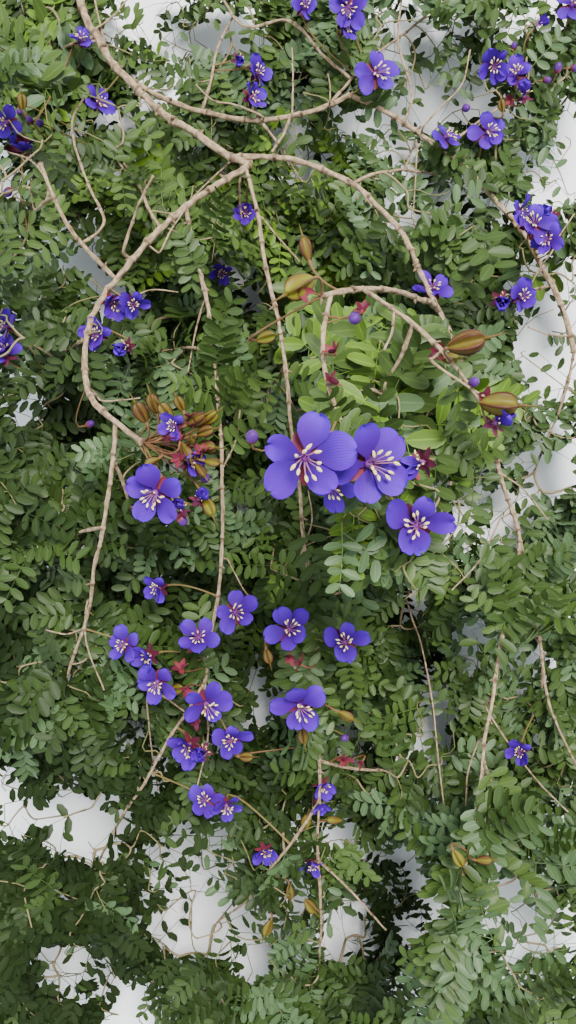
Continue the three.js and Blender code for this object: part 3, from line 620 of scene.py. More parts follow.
# %% A shared group for mottling
def mottle_group():
    """Mixes a colour towards another by noise in the object's own space."""
    group = bpy.data.node_groups.new("mottle", "ShaderNodeTree")
    for socket_name, kind, value in (
        ("Colour", "NodeSocketColor", (0.5, 0.5, 0.5, 1)),
        ("Other colour", "NodeSocketColor", (0.2, 0.2, 0.2, 1)),
        ("Amount", "NodeSocketFloat", 0.5),
        ("Scale", "NodeSocketFloat", 100.0),
    ):
        socket = group.interface.new_socket(socket_name, in_out="INPUT", socket_type=kind)
        socket.default_value = value
    group.interface.new_socket("Colour", in_out="OUTPUT", socket_type="NodeSocketColor")
    nodes, link = group.nodes, group.links.new
    come = nodes.new("NodeGroupInput")
    go = nodes.new("NodeGroupOutput")
    where = nodes.new("ShaderNodeTexCoord")
    noise = nodes.new("ShaderNodeTexNoise")
    noise.inputs["Detail"].default_value = 3.0
    soften = spread_node(nodes, 0.35, 0.65)
    amount = sum_node(nodes, "MULTIPLY")
    mix = mix_node(nodes)
    link(where.outputs["Object"], noise.inputs["Vector"])
    link(come.outputs["Scale"], noise.inputs["Scale"])
    link(noise.outputs["Fac"], soften.inputs["Value"])
    link(soften.outputs["Result"], amount.inputs[0])
    link(come.outputs["Amount"], amount.inputs[1])
    link(amount.outputs[0], mix.inputs["Factor"])
    link(come.outputs["Colour"], mix.inputs["A"])
    link(come.outputs["Other colour"], mix.inputs["B"])
    link(mix.outputs["Result"], go.inputs["Colour"])
    return group


MOTTLE = mottle_group()
print("mottle group:", len(MOTTLE.nodes), "nodes")


# %% Starting a material
def start_material(name, roughness, gloss=0.5):
    """A new material, its shader, its nodes, and the function that links them."""
    material = bpy.data.materials.new(name)
    material.use_nodes = True
    shader = material.node_tree.nodes["Principled BSDF"]
    shader.inputs["Roughness"].default_value = roughness
    shader.inputs["Specular IOR Level"].default_value = gloss
    return material, shader, material.node_tree.nodes, material.node_tree.links.new


def add_mottle(nodes, other, amount, scale, colour=(0.5, 0.5, 0.5)):
    """The mottle group with values of its own. A colour that is linked in takes the given one's place."""
    group = nodes.new("ShaderNodeGroup")
    group.node_tree = MOTTLE
    group.inputs["Colour"].default_value = (*colour, 1)
    group.inputs["Other colour"].default_value = (*other, 1)
    group.inputs["Amount"].default_value = amount
    group.inputs["Scale"].default_value = scale
    return group


def add_place(nodes, link):
    """The place map of a leaf or petal, whole, and split into X, across, and Y, along."""
    place = nodes.new("ShaderNodeUVMap")
    place.uv_map = "place"
    split = nodes.new("ShaderNodeSeparateXYZ")
    link(place.outputs["UV"], split.inputs["Vector"])
    return place, split


# %% [markdown]
# A real leaflet is leathery, with a paler midrib and a thin pale rim. A picture of a leaf could be laid on
# it, but a leaflet is only a few pixels wide here, and a green made of numbers can be tuned. The rib and the
# rim come from the place map that each leaflet carries. They are paler multiples of its own green, so that
# they suit every tone. Leaves at the shaded foot of the branch and low in it get a near-black green: painted
# shade.


# %% Leaf material
PALER = (2.6, 2.3, 2.4)


def leaf_material(name, green, other, roughness=0.46, gloss=0.2):
    """A green mottled with another, paler along the midrib and at the rim."""
    material, shader, nodes, link = start_material(name, roughness, gloss)
    mottle = add_mottle(nodes, other, 0.6, 35.0, green)
    _, split = add_place(nodes, link)
    off_middle = sum_node(nodes, "SUBTRACT", 0.5)
    distance = sum_node(nodes, "ABSOLUTE")
    rib = spread_node(nodes, 0.0, 0.07, 0.5, 0.0)
    rim = spread_node(nodes, 0.4, 0.5, 0.0, 0.2)
    pale = sum_node(nodes, "ADD")
    mix = mix_node(nodes, [times * part for times, part in zip(PALER, green)])
    link(split.outputs["X"], off_middle.inputs[0])
    link(off_middle.outputs[0], distance.inputs[0])
    link(distance.outputs[0], rib.inputs["Value"])
    link(distance.outputs[0], rim.inputs["Value"])
    link(rib.outputs["Result"], pale.inputs[0])
    link(rim.outputs["Result"], pale.inputs[1])
    link(pale.outputs[0], mix.inputs["Factor"])
    link(mottle.outputs["Colour"], mix.inputs["A"])
    link(mix.outputs["Result"], shader.inputs["Base Color"])
    return material


GREENS = {
    # leaf_shade is a near-black green that paints the shade at the foot of the branch and low in it.
    "shade": leaf_material("leaf_shade", (0.009, 0.019, 0.004), (0.015, 0.026, 0.006), 0.6, 0.08),
    "dark": leaf_material("leaf_dark", (0.014, 0.03, 0.005), (0.021, 0.039, 0.007), 0.5, 0.18),
    "deep": leaf_material("leaf_deep", (0.026, 0.051, 0.01), (0.038, 0.067, 0.014)),
    "mid": leaf_material("leaf_mid", (0.041, 0.077, 0.014), (0.055, 0.092, 0.02)),
    "bluish": leaf_material("leaf_bluish", (0.05, 0.092, 0.036), (0.074, 0.122, 0.052)),
    "fresh": leaf_material("leaf_fresh", (0.078, 0.145, 0.012), (0.06, 0.118, 0.013)),
}
print("greens:", ", ".join(GREENS))

# %% [markdown]
# Bark is dull, pale and tan-grey, and darker in the leaf scars at its nodes. It could be painted on an image,
# but that needs an unwrapped mesh. Here each corner carries a shade that marks the scars, and that also
# darkens the hollows between the lumps and lightens their tops: painted shade. The material mixes by it.
# Twigs, stalks, pods, sepals, stamens and buds use the same function with colours of their own.


# %% Bark and twig materials
def shaded_material(name, light, dark, other, scale, roughness):
    """Light where the shade is 0 and dark where it is 1, mottled with another colour."""
    material, shader, nodes, link = start_material(name, roughness, 0.2)
    mottle = add_mottle(nodes, other, 0.7, scale, light)
    shade = nodes.new("ShaderNodeAttribute")
    shade.attribute_name = "shade"
    mix = mix_node(nodes, dark)
    link(shade.outputs["Fac"], mix.inputs["Factor"])
    link(mottle.outputs["Colour"], mix.inputs["A"])
    link(mix.outputs["Result"], shader.inputs["Base Color"])
    return material


BARK = shaded_material("bark", (0.41, 0.305, 0.195), (0.035, 0.015, 0.009), (0.13, 0.08, 0.045), 380, 0.85)
TWIG = shaded_material("twig", (0.15, 0.15, 0.055), (0.27, 0.2, 0.125), (0.11, 0.12, 0.04), 300, 0.75)
STALK = shaded_material("stalk", (0.15, 0.17, 0.05), (0.14, 0.03, 0.025), (0.13, 0.09, 0.03), 300, 0.6)
POD_SKIN = shaded_material(
    "pod_skin", (0.15, 0.165, 0.008), (0.045, 0.004, 0.008), (0.12, 0.07, 0.006), 160, 0.5
)
BUD_SKIN = shaded_material("bud_skin", (0.07, 0.015, 0.2), (0.15, 0.025, 0.03), (0.04, 0.01, 0.12), 400, 0.5)
print("bark, twig, stalk, pod and bud materials made")


# %% [markdown]
# A petal is blue-violet: deeper at its claw, with fine darker veins that run out to the rim. The veins could
# be cut into the mesh, but on the real petal they are flat. So a ramp along the petal's place map gives the
# violets, and a wave across the map draws the veins.


# %% Petal material
def petal_material():
    """Violet along the petal by a ramp, with darker veins."""
    material, shader, nodes, link = start_material("petal", 0.6, 0.1)
    place, split = add_place(nodes, link)
    along = nodes.new("ShaderNodeValToRGB")
    stops = along.color_ramp.elements
    stops[0].position = 0.05
    stops[0].color = (0.022, 0.001, 0.06, 1)
    stops[1].position = 0.95
    stops[1].color = (0.08, 0.006, 0.46, 1)
    stops.new(0.45).color = (0.036, 0.002, 0.2, 1)
    veins = nodes.new("ShaderNodeTexWave")
    veins.inputs["Scale"].default_value = 4.5
    veins.inputs["Distortion"].default_value = 1.2
    veins.inputs["Detail"].default_value = 1.0
    thin = spread_node(nodes, 0.0, 0.35, 0.45, 0.0)
    mix = mix_node(nodes, (0.02, 0.001, 0.12))
    mottle = add_mottle(nodes, (0.075, 0.003, 0.25), 0.5, 60.0)
    link(split.outputs["Y"], along.inputs["Fac"])
    link(place.outputs["UV"], veins.inputs["Vector"])
    link(veins.outputs["Fac"], thin.inputs["Value"])
    link(thin.outputs["Result"], mix.inputs["Factor"])
    link(along.outputs["Color"], mottle.inputs["Colour"])
    link(mottle.outputs["Colour"], mix.inputs["A"])
    link(mix.outputs["Result"], shader.inputs["Base Color"])
    return material


PETAL = petal_material()
SEPAL = shaded_material("sepal", (0.06, 0.006, 0.025), (0.18, 0.024, 0.035), (0.035, 0.004, 0.045), 300, 0.6)
ANTHER = shaded_material("anther", (0.66, 0.5, 0.22), (0.16, 0.025, 0.2), (0.75, 0.62, 0.36), 500, 0.6)
print("petal, sepal and anther materials made")

# %% [markdown]
# A real limb swells at its nodes, where leaves once grew, and carries low lumps and the stubs of lost twigs.
# All that could be bump in the material, but then the outline would stay smooth. So each limb is a tube of
# close rings, and swellings and waves change their radii. It starts inside the limb that carries it.


# %% Bark rings
NODE_SPACING = 20.0
SCAR_WIDTH = 0.8
LUMP_WAVES = 14
LUMP_HEIGHT = 0.045


def grow_bark(batch, line, radii, seed, sides=12, step=1.0):
    """The bark of one limb. Gives back where along the limb its nodes are."""
    random = np.random.default_rng(seed)
    shares = np.linspace(0, 1, max(8, int(line.length / step)) + 1)
    along = shares * line.length
    nodes_at = np.arange(random.uniform(4, 14), line.length, NODE_SPACING)
    nodes_at = nodes_at + random.uniform(-6, 6, len(nodes_at))
    swell = np.zeros_like(along)
    scar = np.zeros_like(along)
    for node in [0.0, *nodes_at, line.length]:
        swell += np.exp(-(((along - node) / (0.55 * radii[0])) ** 2))
        scar += np.exp(-(((along - node - SCAR_WIDTH) / SCAR_WIDTH) ** 2))
    rough = np.zeros((len(along), sides))
    angles = np.arange(sides) * 2 * math.pi / sides
    for _ in range(LUMP_WAVES):
        around = random.integers(1, 4)
        wave = random.uniform(0.06, 0.7)
        phase = random.uniform(0, 6.3, 2)
        rough += np.sin(wave * along[:, None] + phase[0]) * np.cos(around * angles[None, :] + phase[1])
    rough *= LUMP_HEIGHT
    base = radii[0] + (radii[1] - radii[0]) * shares
    radius = base[:, None] * (0.78 + 0.36 * np.minimum(swell, 1.2)[:, None] + rough)
    # Scars are darker bark; -2.4 * rough darkens the hollows between lumps and lightens their tops: painted
    # shade.
    shade = np.clip(0.8 * scar[:, None] + 0.08 - 2.4 * rough, 0, 0.85).ravel()
    points = [line.at(share) for share in shares]
    batch.add(*tube(points, radius, sides), shade=np.concatenate([shade, [0.2, 0.4]]))
    return nodes_at / line.length


def grow_stub(batch, place, direction, length, radius):
    """What is left of a lost twig."""
    points = [place, place + direction * length * 0.6, place + direction * length]
    batch.add(*tube(points, np.array([radius, radius * 0.9, radius * 0.6]), 6), shade=0.55)


# %% Grow the limbs
bark = Batch()
dice = np.random.default_rng(4)
for number, (name, (*_, radii, _)) in enumerate(LIMBS.items()):
    line = lines[name]
    for side_number, share in enumerate(grow_bark(bark, line, radii, 40 + number)):
        along = line.tangent(share)
        side = unit(np.cross(along, UP))
        lift = np.cross(side, along)
        angle = side_number * math.pi / 2 + dice.uniform(-0.5, 0.5)
        out = unit(math.cos(angle) * side + math.sin(angle) * lift + 0.4 * along)
        width = radii[0] + (radii[1] - radii[0]) * share
        if dice.random() < 0.7:
            foot = line.at(share) + out * width * 0.7
            grow_stub(bark, foot, out, dice.uniform(1.2, 3.2), width * 0.45)
print("limbs grown, triangles", bark.triangles())

# %% Grow the side twigs
LIMB_STEP = 1.5
FAR_FOOT = 6
STEM_RADII = (1.25, 0.8)
on_limbs = [line.every(LIMB_STEP) for line in lines.values()]
branch_points = np.concatenate(on_limbs + [stem.every(2) for stem in stems.values()])
side_lines = []
for number, (path, ends, radius) in enumerate(SIDE_TWIGS):
    through = [seen(pixel, height) for pixel, height in zip(path, np.linspace(*ends, len(path)))]
    foot = through[0]
    start = branch_points[np.argmin(np.linalg.norm(branch_points - foot, axis=1))]
    if np.linalg.norm(start - foot) > FAR_FOOT:
        through = [start, start * 0.4 + foot * 0.6 - np.array([0, 0, 4]), *through]
    else:
        through[0] = start
    side_lines.append(smooth_through(through))
    grow_bark(bark, side_lines[-1], (radius, radius * 0.7), 200 + number, 6, 1.1)
for number, stem in enumerate(stems.values()):
    grow_bark(bark, stem, STEM_RADII, 400 + number, 7, 1.5)
bark_piece = build("bark", bark, BARK)
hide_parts(*LIMBS)

# %% [markdown]
# A leaflet is a small keeled blade with a rounded outline, and sits in pairs on a thin rachis. A flat card
# with a cut-out picture could stand for it, but its mesh would stay square. So a small grid is pulled into
# the outline, with fewer rows where leaves lie deeper in the branch. It lies along +Y from the rachis.

# %% Leaflet shape
LEAFLET_ROWS = {
    "broad": [(0.0, 0.14), (0.16, 0.66), (0.45, 1.0), (0.76, 0.9), (0.94, 0.5), (1.0, 0.12)],
    "plain": [(0.0, 0.16), (0.24, 0.8), (0.66, 0.98), (0.93, 0.55), (1.0, 0.14)],
    "coarse": [(0.0, 0.2), (0.32, 0.95), (0.8, 0.85), (1.0, 0.2)],
    "hidden": [(0.0, 0.25), (0.5, 1.0), (1.0, 0.3)],
}
LEAFLET_CORNERS = {kind: 3 * len(rows) for kind, rows in LEAFLET_ROWS.items()}
print("corners of a leaflet:", LEAFLET_CORNERS)


def leaflet_shape(length, width, keel, curl, kind):
    """Corners, faces and places of one leaflet, made from a flat grid."""
    rows = LEAFLET_ROWS[kind]
    bm = bmesh.new()
    bmesh.ops.create_grid(bm, x_segments=2, y_segments=len(rows) - 1, size=0.5)
    places = np.zeros((len(bm.verts), 2))
    for v in bm.verts:
        across = round(v.co.x * 2)
        along, wide = rows[round((v.co.y + 0.5) * (len(rows) - 1))]
        places[v.index] = (0.5 + 0.5 * across, along)
        half = 0.5 * width * wide
        v.co = (across * half, along * length, abs(across) * half * keel - curl * length * along * along)
    corners, faces = arrays_of(bm)
    return corners, faces, places


# %% Compound leaf shapes
LEAF_LENGTH = 36.0
RACHIS_RINGS, RACHIS_SIDES = 4, 3


def leaf_shape(pairs, leaflet_length, leaflet_width, kind, seed):
    """A compound leaf along +X, face up: pairs of leaflets on a thin rachis."""
    random = np.random.default_rng(seed)
    leaf = Batch()
    stalk = 0.12 * LEAF_LENGTH
    arch = random.uniform(0.05, 0.3)
    bend = random.uniform(-0.12, 0.12)

    def spine(x):
        return np.array([x, bend * x * x / LEAF_LENGTH, -arch * x * x / LEAF_LENGTH])

    points = [spine(x) for x in np.linspace(0, LEAF_LENGTH * 0.97, RACHIS_RINGS)]
    leaf.add(*tube(points, np.linspace(0.36, 0.18, RACHIS_RINGS), RACHIS_SIDES, closed=False))
    for pair in range(pairs):
        share = (pair + 0.5) / pairs
        x = stalk + (LEAF_LENGTH - stalk) * share * 0.98
        size = 0.74 + 0.34 * math.sin(math.pi * min(1.0, 0.22 + 0.7 * share)) + random.uniform(-0.06, 0.06)
        for side in (-1, 1):
            keel, curl = random.uniform(0.1, 0.45), random.uniform(-0.05, 0.16)
            long, wide = leaflet_length * size, leaflet_width * size
            shape, faces, places = leaflet_shape(long, wide, keel, curl, kind)
            swing = side * math.radians(76 - 30 * share**1.5 + random.uniform(-8, 8)) - math.pi / 2
            raise_by = math.radians(random.uniform(-8, 22))
            roll = math.radians(random.uniform(-18, 18))
            turn = Matrix.Rotation(swing, 3, "Z") @ Matrix.Rotation(raise_by, 3, "X")
            turn = turn @ Matrix.Rotation(roll, 3, "Y")
            foot = spine(x + random.uniform(-0.5, 0.5))
            leaf.add(shape @ np.array(turn).T + foot, faces, places)
    return np.concatenate(leaf.corners), np.concatenate(leaf.faces), np.concatenate(leaf.places)


# %% Four kinds of leaves
LEAF_KINDS = {
    "plain": (11.6, 5.6, 70, (4, 5, 5, 6, 4, 5, 6, 5)),
    "coarse": (11.0, 5.6, 80, (4, 5, 5, 6, 5)),
    "hidden": (11.4, 5.8, 85, (4, 5, 5, 4)),
    "broad": (17.0, 8.6, 90, (2, 3, 3, 2)),
}
LEAF_SHAPES = {
    kind: [leaf_shape(pairs, long, wide, kind, seed + k) for k, pairs in enumerate(pair_counts)]
    for kind, (long, wide, seed, pair_counts) in LEAF_KINDS.items()
}
for kind, shapes in LEAF_SHAPES.items():
    print("leaf shapes:", kind, [2 * len(faces) for _, faces, _ in shapes], "triangles")

# %% [markdown]
# From the eye, the blooms, pods, buds and bare limbs stay in sight, and light comes through the open patches.
# Leaves in the way could be deleted afterwards. It is simpler to keep, for each pixel of the eye's picture,
# the height above which a leaf would hide something, and not to grow that leaf. An open patch is made of
# random specks, so that its rim is as ragged as a gap between real leaves.

# %% The eye's picture
EDGE = 90
ACROSS, DOWN = PICTURE_ACROSS + 2 * EDGE, PICTURE_DOWN + 2 * EDGE


def disc_patch(pixel, radii):
    """Columns and rows of the eye's picture under an ellipse."""
    x, y = pixel[0] + EDGE, pixel[1] + EDGE
    rx, ry = radii
    xs = np.arange(max(0, int(x - rx)), min(ACROSS, int(x + rx) + 2))
    ys = np.arange(max(0, int(y - ry)), min(DOWN, int(y + ry) + 2))
    grid_x, grid_y = np.meshgrid(xs, ys, indexing="ij")
    inside = ((grid_x - x) / rx) ** 2 + ((grid_y - y) / ry) ** 2 <= 1
    return grid_x[inside], grid_y[inside]


def patch_mask(patches):
    """The pixels of the eye's picture that lie under any of some ellipses."""
    mask = np.zeros((ACROSS, DOWN), bool)
    for pixel, radii in patches:
        mask[disc_patch(pixel, radii)] = True
    return mask


def raster_places(points):
    """Where points are seen, as columns and rows of the eye's picture."""
    where = np.rint(pixels_of(points)).astype(int) + EDGE
    return tuple(np.clip(where, 0, (ACROSS - 1, DOWN - 1)).T)


print("the eye's picture:", ACROSS, "x", DOWN, "pixels with its edge")


# %% Things to keep in sight
class Sight:
    """For each pixel of the eye's picture, the height above which a leaf hides what lies there."""

    def __init__(self, clearance):
        self.clearance = clearance
        self.height = np.full((ACROSS, DOWN), np.inf)

    def keep(self, pixel, radius, height):
        patch = disc_patch(pixel, (radius, radius))
        self.height[patch] = np.minimum(self.height[patch], height - self.clearance)

    def share_hidden(self, points, where):
        return np.mean(points[:, 2] > self.height[where])


bloom_sight, limb_sight = Sight(5), Sight(1)
for pixel, height, diameter, *_ in BLOOMS.values():
    bloom_sight.keep(pixel, 0.46 * diameter * FOCAL_PIXELS / (EYE_HEIGHT - height), height)
for pixel, width, height, _ in SMALL_BLOOMS:
    bloom_sight.keep(pixel, 0.4 * width, height)
for _, pixel, height, *_ in PODS:
    bloom_sight.keep(pixel, 14, height)
for radius, things in ((10, SMALL_PODS), (7, SMALL_BUDS), (8, OLD_BLOOMS)):
    for pixel, height, *_ in things:
        bloom_sight.keep(pixel, radius, height)
for name, line in lines.items():
    *_, (radius, _), bare = LIMBS[name]
    for share in np.linspace(*bare, max(4, int(line.length / LIMB_STEP))):
        place = line.at(share)
        scale = FOCAL_PIXELS / (EYE_HEIGHT - place[2])
        limb_sight.keep(pixels_of(place)[0], (radius + 0.7) * scale + 1.5, place[2])
for line in side_lines:
    for place in line.every(LIMB_STEP):
        limb_sight.keep(pixels_of(place)[0], 3.2, place[2])
for kept, sight in (("blooms", bloom_sight), ("limbs", limb_sight)):
    print("share of the picture kept for", kept, round(float(np.isfinite(sight.height).mean()), 3))

# %% Open patches
SPECK_AREA = 9
OPEN_PATCHES = [
    ((150, 22), (34, 24)), ((235, 30), (22, 18)), ((430, 62), (34, 30)), ((442, 100), (26, 20)),
    ((398, 20), (18, 16)), ((405, 142), (18, 24)), ((462, 195), (19, 17)), ((490, 208), (18, 12)),
    ((566, 150), (16, 34)), ((535, 168), (16, 13)), ((556, 184), (24, 18)), ((400, 212), (18, 14)),
    ((300, 166), (24, 14)), ((292, 140), (16, 10)), ((352, 118), (16, 10)), ((545, 285), (24, 26)),
    ((558, 340), (28, 46)), ((540, 390), (16, 22)), ((486, 526), (36, 20)), ((446, 500), (16, 14)),
    ((520, 482), (30, 18)), ((562, 455), (18, 24)), ((440, 735), (14, 20)), ((415, 916), (17, 13)),
    ((508, 905), (19, 30)), ((346, 932), (20, 22)), ((565, 935), (18, 20)), ((520, 965), (16, 14)),
    ((86, 828), (32, 24)), ((8, 806), (14, 26)), ((188, 868), (38, 32)), ((195, 920), (38, 24)),
    ((250, 960), (14, 16)), ((70, 972), (30, 20)), ((130, 732), (16, 10)), ((120, 118), (14, 10)),
    ((478, 640), (16, 20)), ((530, 668), (18, 14)), ((352, 744), (12, 18)), ((24, 408), (16, 12)),
    ((214, 738), (12, 10)), ((548, 12), (16, 12)), ((508, 28), (12, 12)),
]
dice = np.random.default_rng(77)
specks = []
for pixel, radii in OPEN_PATCHES:
    for _ in range(int(radii[0] * radii[1] / SPECK_AREA)):
        angle = dice.uniform(0, 2 * math.pi)
        reach = 1.5 * math.sqrt(dice.random())
        radius = dice.uniform(3.5, 7.5)
        spot = (pixel[0] + radii[0] * reach * math.cos(angle), pixel[1] + radii[1] * reach * math.sin(angle))
        specks.append((spot, (radius, radius)))
open_patch = patch_mask(specks)
print("open share of the picture", round(float(open_patch.mean()), 3))

# %% [markdown]
# The real leaves fill a mass all round its stem, on twigs that lie over and under each other. They could be
# scattered in a ball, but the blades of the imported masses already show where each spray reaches. So the
# nodes of the fine twigs are dealt over and under the blades, on an uneven grid, inside the branch's reach.


# %% Points on the blades
BLADE_POINTS = 1200
REACH = {"left": -215.0, "right": 215.0, "foot": -378.0, "head": 385.0}


def blade_points(name, count, random):
    """Points spread evenly over the upward faces of a packed mass, in the layout's millimetres."""
    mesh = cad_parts[name].data
    mesh.calc_loop_triangles()
    corners = np.array([v.co[:] for v in mesh.vertices]) / MM - MOVED
    triangles = np.array([t.vertices[:] for t in mesh.loop_triangles])
    a, b, c = (corners[triangles[:, k]] for k in range(3))
    cross = np.cross(b - a, c - a)
    area = np.linalg.norm(cross, axis=1) / 2
    area[cross[:, 2] <= 0.15 * np.linalg.norm(cross, axis=1)] = 0
    chosen = random.choice(len(area), count, p=area / area.sum())
    u, v = random.random((2, count, 1))
    flip = (u + v) > 1
    u, v = np.where(flip, 1 - u, u), np.where(flip, 1 - v, v)
    return a[chosen] + u * (b[chosen] - a[chosen]) + v * (c[chosen] - a[chosen])


def inside_reach(points, margin):
    """Which points are inside the branch's reach and clear of the floor."""
    x, y, z = points.T
    return (
        (x > REACH["left"] + margin) & (x < REACH["right"] - margin)
        & (y > REACH["foot"] + margin) & (y < REACH["head"] - margin) & (z > 1.5)
    )


def tree_of(points):
    """A tree that finds the nearest of some places, in space or in the picture."""
    tree = KDTree(len(points))
    for i, point in enumerate(points):
        tree.insert(point if len(point) == 3 else (*point, 0), i)
    tree.balance()
    return tree


names = list(MASSES)
spread = {
    name: blade_points(name, BLADE_POINTS, np.random.default_rng(600 + k)) for k, name in enumerate(names)
}
all_points = np.concatenate(list(spread.values()))
owner = np.repeat(np.arange(len(names)), BLADE_POINTS)
picture_tree = tree_of(pixels_of(all_points))
space_tree = tree_of(all_points)
spread_trees = {name: tree_of(points) for name, points in spread.items()}
print("blade points:", len(all_points))

# %% Deal the twig nodes
CELL = 19
STRAY = 36.0
NEAR_BLADE = 15
HANGS_BELOW = 24
LOWEST = 7
FAN_CORNER = (150, 620)
dice = np.random.default_rng(12)
sites = {name: [] for name in names}


def deal(place, index, front):
    """Give a node to the mass that owns a blade point, if it is near that point and inside the reach."""
    if np.linalg.norm(place - all_points[index]) < STRAY and inside_reach(place[None], 7)[0]:
        if open_patch[raster_places(place)] and dice.random() < 0.5:
            return
        sites[names[owner[index]]].append((place, front))


def uneven_grid(cell, shift):
    """Pixels on a grid a little larger than the picture, each moved by chance."""
    for down in range(-30, 1060, cell):
        for across in range(-25, 605, cell):
            yield np.array([across, down]) + dice.uniform(-0.5, 0.5, 2) * shift


for cell in (CELL, CELL + 3):
    for pixel in uneven_grid(cell, cell):
        close = picture_tree.find_range((*pixel, 0), NEAR_BLADE)
        if close:
            index = close[dice.integers(len(close))][1]
            deal(all_points[index] + dice.normal(0, 1.5, 3), index, True)
        else:
            index = picture_tree.find((*pixel, 0))[1]
            height = max(float(LOWEST), all_points[index][2] - dice.uniform(0, HANGS_BELOW))
            deal(seen(pixel, height), index, False)
for pixel in uneven_grid(CELL + 9, CELL):
    near_fan = pixel[0] < FAN_CORNER[0] and pixel[1] > FAN_CORNER[1]
    for low in (LOWEST, 20) if near_fan else (LOWEST,):
        place = seen(pixel, dice.uniform(low, low + 19))
        deal(place, space_tree.find(place)[1], False)
print("twig nodes:", sum(len(s) for s in sites.values()), {n[7:]: len(s) for n, s in sites.items()})

# %% [markdown]
# Every real leaf hangs on a twig that leads back to its stem. Hair particles would be quick, but would leave
# the leaves loose in the air. So each node joins the nearest part of its mass that has grown already,
# outwards from the stem. A twig leaves in the direction of the one that carries it, bends towards its node,
# and is thicker the more it carries.


# %% Join the nodes
def join_nodes(name):
    """One mass's nodes: places, what each grows from, which lie over the blades, how many are on the stem."""
    stem = stems[name].every(5)
    grown = list(stem)
    parents = [i - 1 for i in range(len(stem))]
    fronts = [True] * len(stem)
    order = sorted(sites[name], key=lambda s: np.min(np.linalg.norm(stem - s[0], axis=1)))
    for place, front in order:
        parents.append(int(np.argmin(np.linalg.norm(np.array(grown) - place, axis=1))))
        grown.append(place)
        fronts.append(front)
    return np.array(grown), parents, fronts, len(stem)


trees = {name: join_nodes(name) for name in names}
print("joined places:", sum(len(tree[0]) for tree in trees.values()))

# %% Grow the fine twigs
twigs = Batch()
directions = {}
for name, (grown, parents, _, stem_count) in trees.items():
    loads = np.zeros(len(grown))
    for i in range(len(grown) - 1, stem_count - 1, -1):
        loads[i] += 1
        if parents[i] >= stem_count:
            loads[parents[i]] += loads[i]
    way = np.zeros_like(grown)
    way[0] = unit(grown[1] - grown[0])
    for i in range(1, len(grown)):
        start, end = grown[parents[i]], grown[i]
        if i < stem_count:
            way[i] = unit(end - start)
            continue
        reach = np.linalg.norm(end - start)
        control = start + way[parents[i]] * 0.35 * reach + np.array([0, 0, 0.04 * reach])
        way[i] = unit(end - control)
        steps, sides = (4, 4) if loads[i] > 2 else (2, 3)
        ts = np.linspace(0, 1, steps + 1)
        bend = arc(start, control, end)
        radii = (0.26 + 0.12 * math.sqrt(loads[i])) * (1.1 - 0.25 * ts)
        twigs.add(*tube([bend.place(t) for t in ts], radii, sides), shade=min(0.6, 0.08 * loads[i]))
    directions[name] = way
print("twig triangles:", twigs.triangles())

# %% [markdown]
# No real mass has one green: young leaves are fresh, old ones dull, and some look bluish. Noise alone could
# vary one green, but whole leaves and sprays differ. So each mass has a tone, each tone has shares of the
# greens, and a spray often keeps the green that it drew first. Low leaves, those at the foot and in the dim
# patches, some masses at the left and the back of the fan get the shade and dark tones: painted shade.

# %% Shares of the greens in each mass
SHADED_BELOW = 32
# The shade and dark tones hold the darkest greens, which paint shade.
GREEN_SHARES = {
    "shade": {"shade": 1},
    "dark": {"dark": 6, "deep": 4, "bluish": 1},
    "cool": {"deep": 5, "mid": 2, "bluish": 3, "dark": 2},
    "warm": {"mid": 5, "deep": 4, "fresh": 2, "dark": 1},
    "front": {"mid": 5, "bluish": 3, "fresh": 2, "deep": 2},
}
# Masses at the left and the foot of the branch, whose dark tone is painted shade.
SHADED_MASSES = {"leaves_left_middle", "leaves_left_low", "leaves_low_left", "leaves_low_middle"}
WARM_MASSES = {"leaves_top_left", "leaves_crook", "leaves_under_fork", "leaves_under_middle"}
BROAD_PATCHES = [((392, 385), (62, 48)), ((478, 262), (60, 34)), ((60, 60), (36, 44)), ((320, 330), (40, 40))]
# Patches where leaves get the near-black shade tone: painted shade.
SHADE_PATCHES = [
    ((50, 790), (110, 62)), ((60, 920), (105, 120)), ((20, 640), (34, 130)), ((130, 790), (60, 50)),
]
# Patches where most leaves get the dark tone: painted shade.
DIM_PATCHES = [
    ((290, 1000), (110, 44)), ((530, 1000), (80, 44)), ((60, 480), (90, 70)),
    ((120, 560), (60, 40)), ((60, 690), (100, 80)), ((90, 620), (60, 40)),
]
FRONT_ENDS_AT = 540
broad_patch, shade_patch, dim_patch = map(patch_mask, (BROAD_PATCHES, SHADE_PATCHES, DIM_PATCHES))
for label, patch in (("broad", broad_patch), ("shaded", shade_patch), ("dim", dim_patch)):
    print("share of the picture with", label, "leaves:", round(float(patch.mean()), 3))


# %% Tone and green of a leaf
def tone_of(name, place, front, random):
    """The tone of one node's leaves."""
    where = raster_places(place)
    if name == "leaves_front":
        return "front" if where[1] < FRONT_ENDS_AT + EDGE else "cool"
    # Shade patches, low leaves, dim patches, the back of the fan and the shaded masses get darker tones:
    # painted shade.
    if shade_patch[where]:
        return "shade" if random.random() < 0.85 else "dark"
    if place[2] < SHADED_BELOW:
        return "shade" if random.random() < 0.6 else "dark"
    if dim_patch[where] and random.random() < 0.75:
        return "dark"
    if name == "leaves_fan":
        return "front" if front and random.random() < 0.35 else "dark"
    if name in SHADED_MASSES:
        return "dark"
    return "warm" if name in WARM_MASSES else "cool"


def pick_green(tone, random):
    """One of a tone's greens, by their shares."""
    greens = list(GREEN_SHARES[tone])
    weights = np.array(list(GREEN_SHARES[tone].values()), float)
    return greens[random.choice(len(greens), p=weights / weights.sum())]


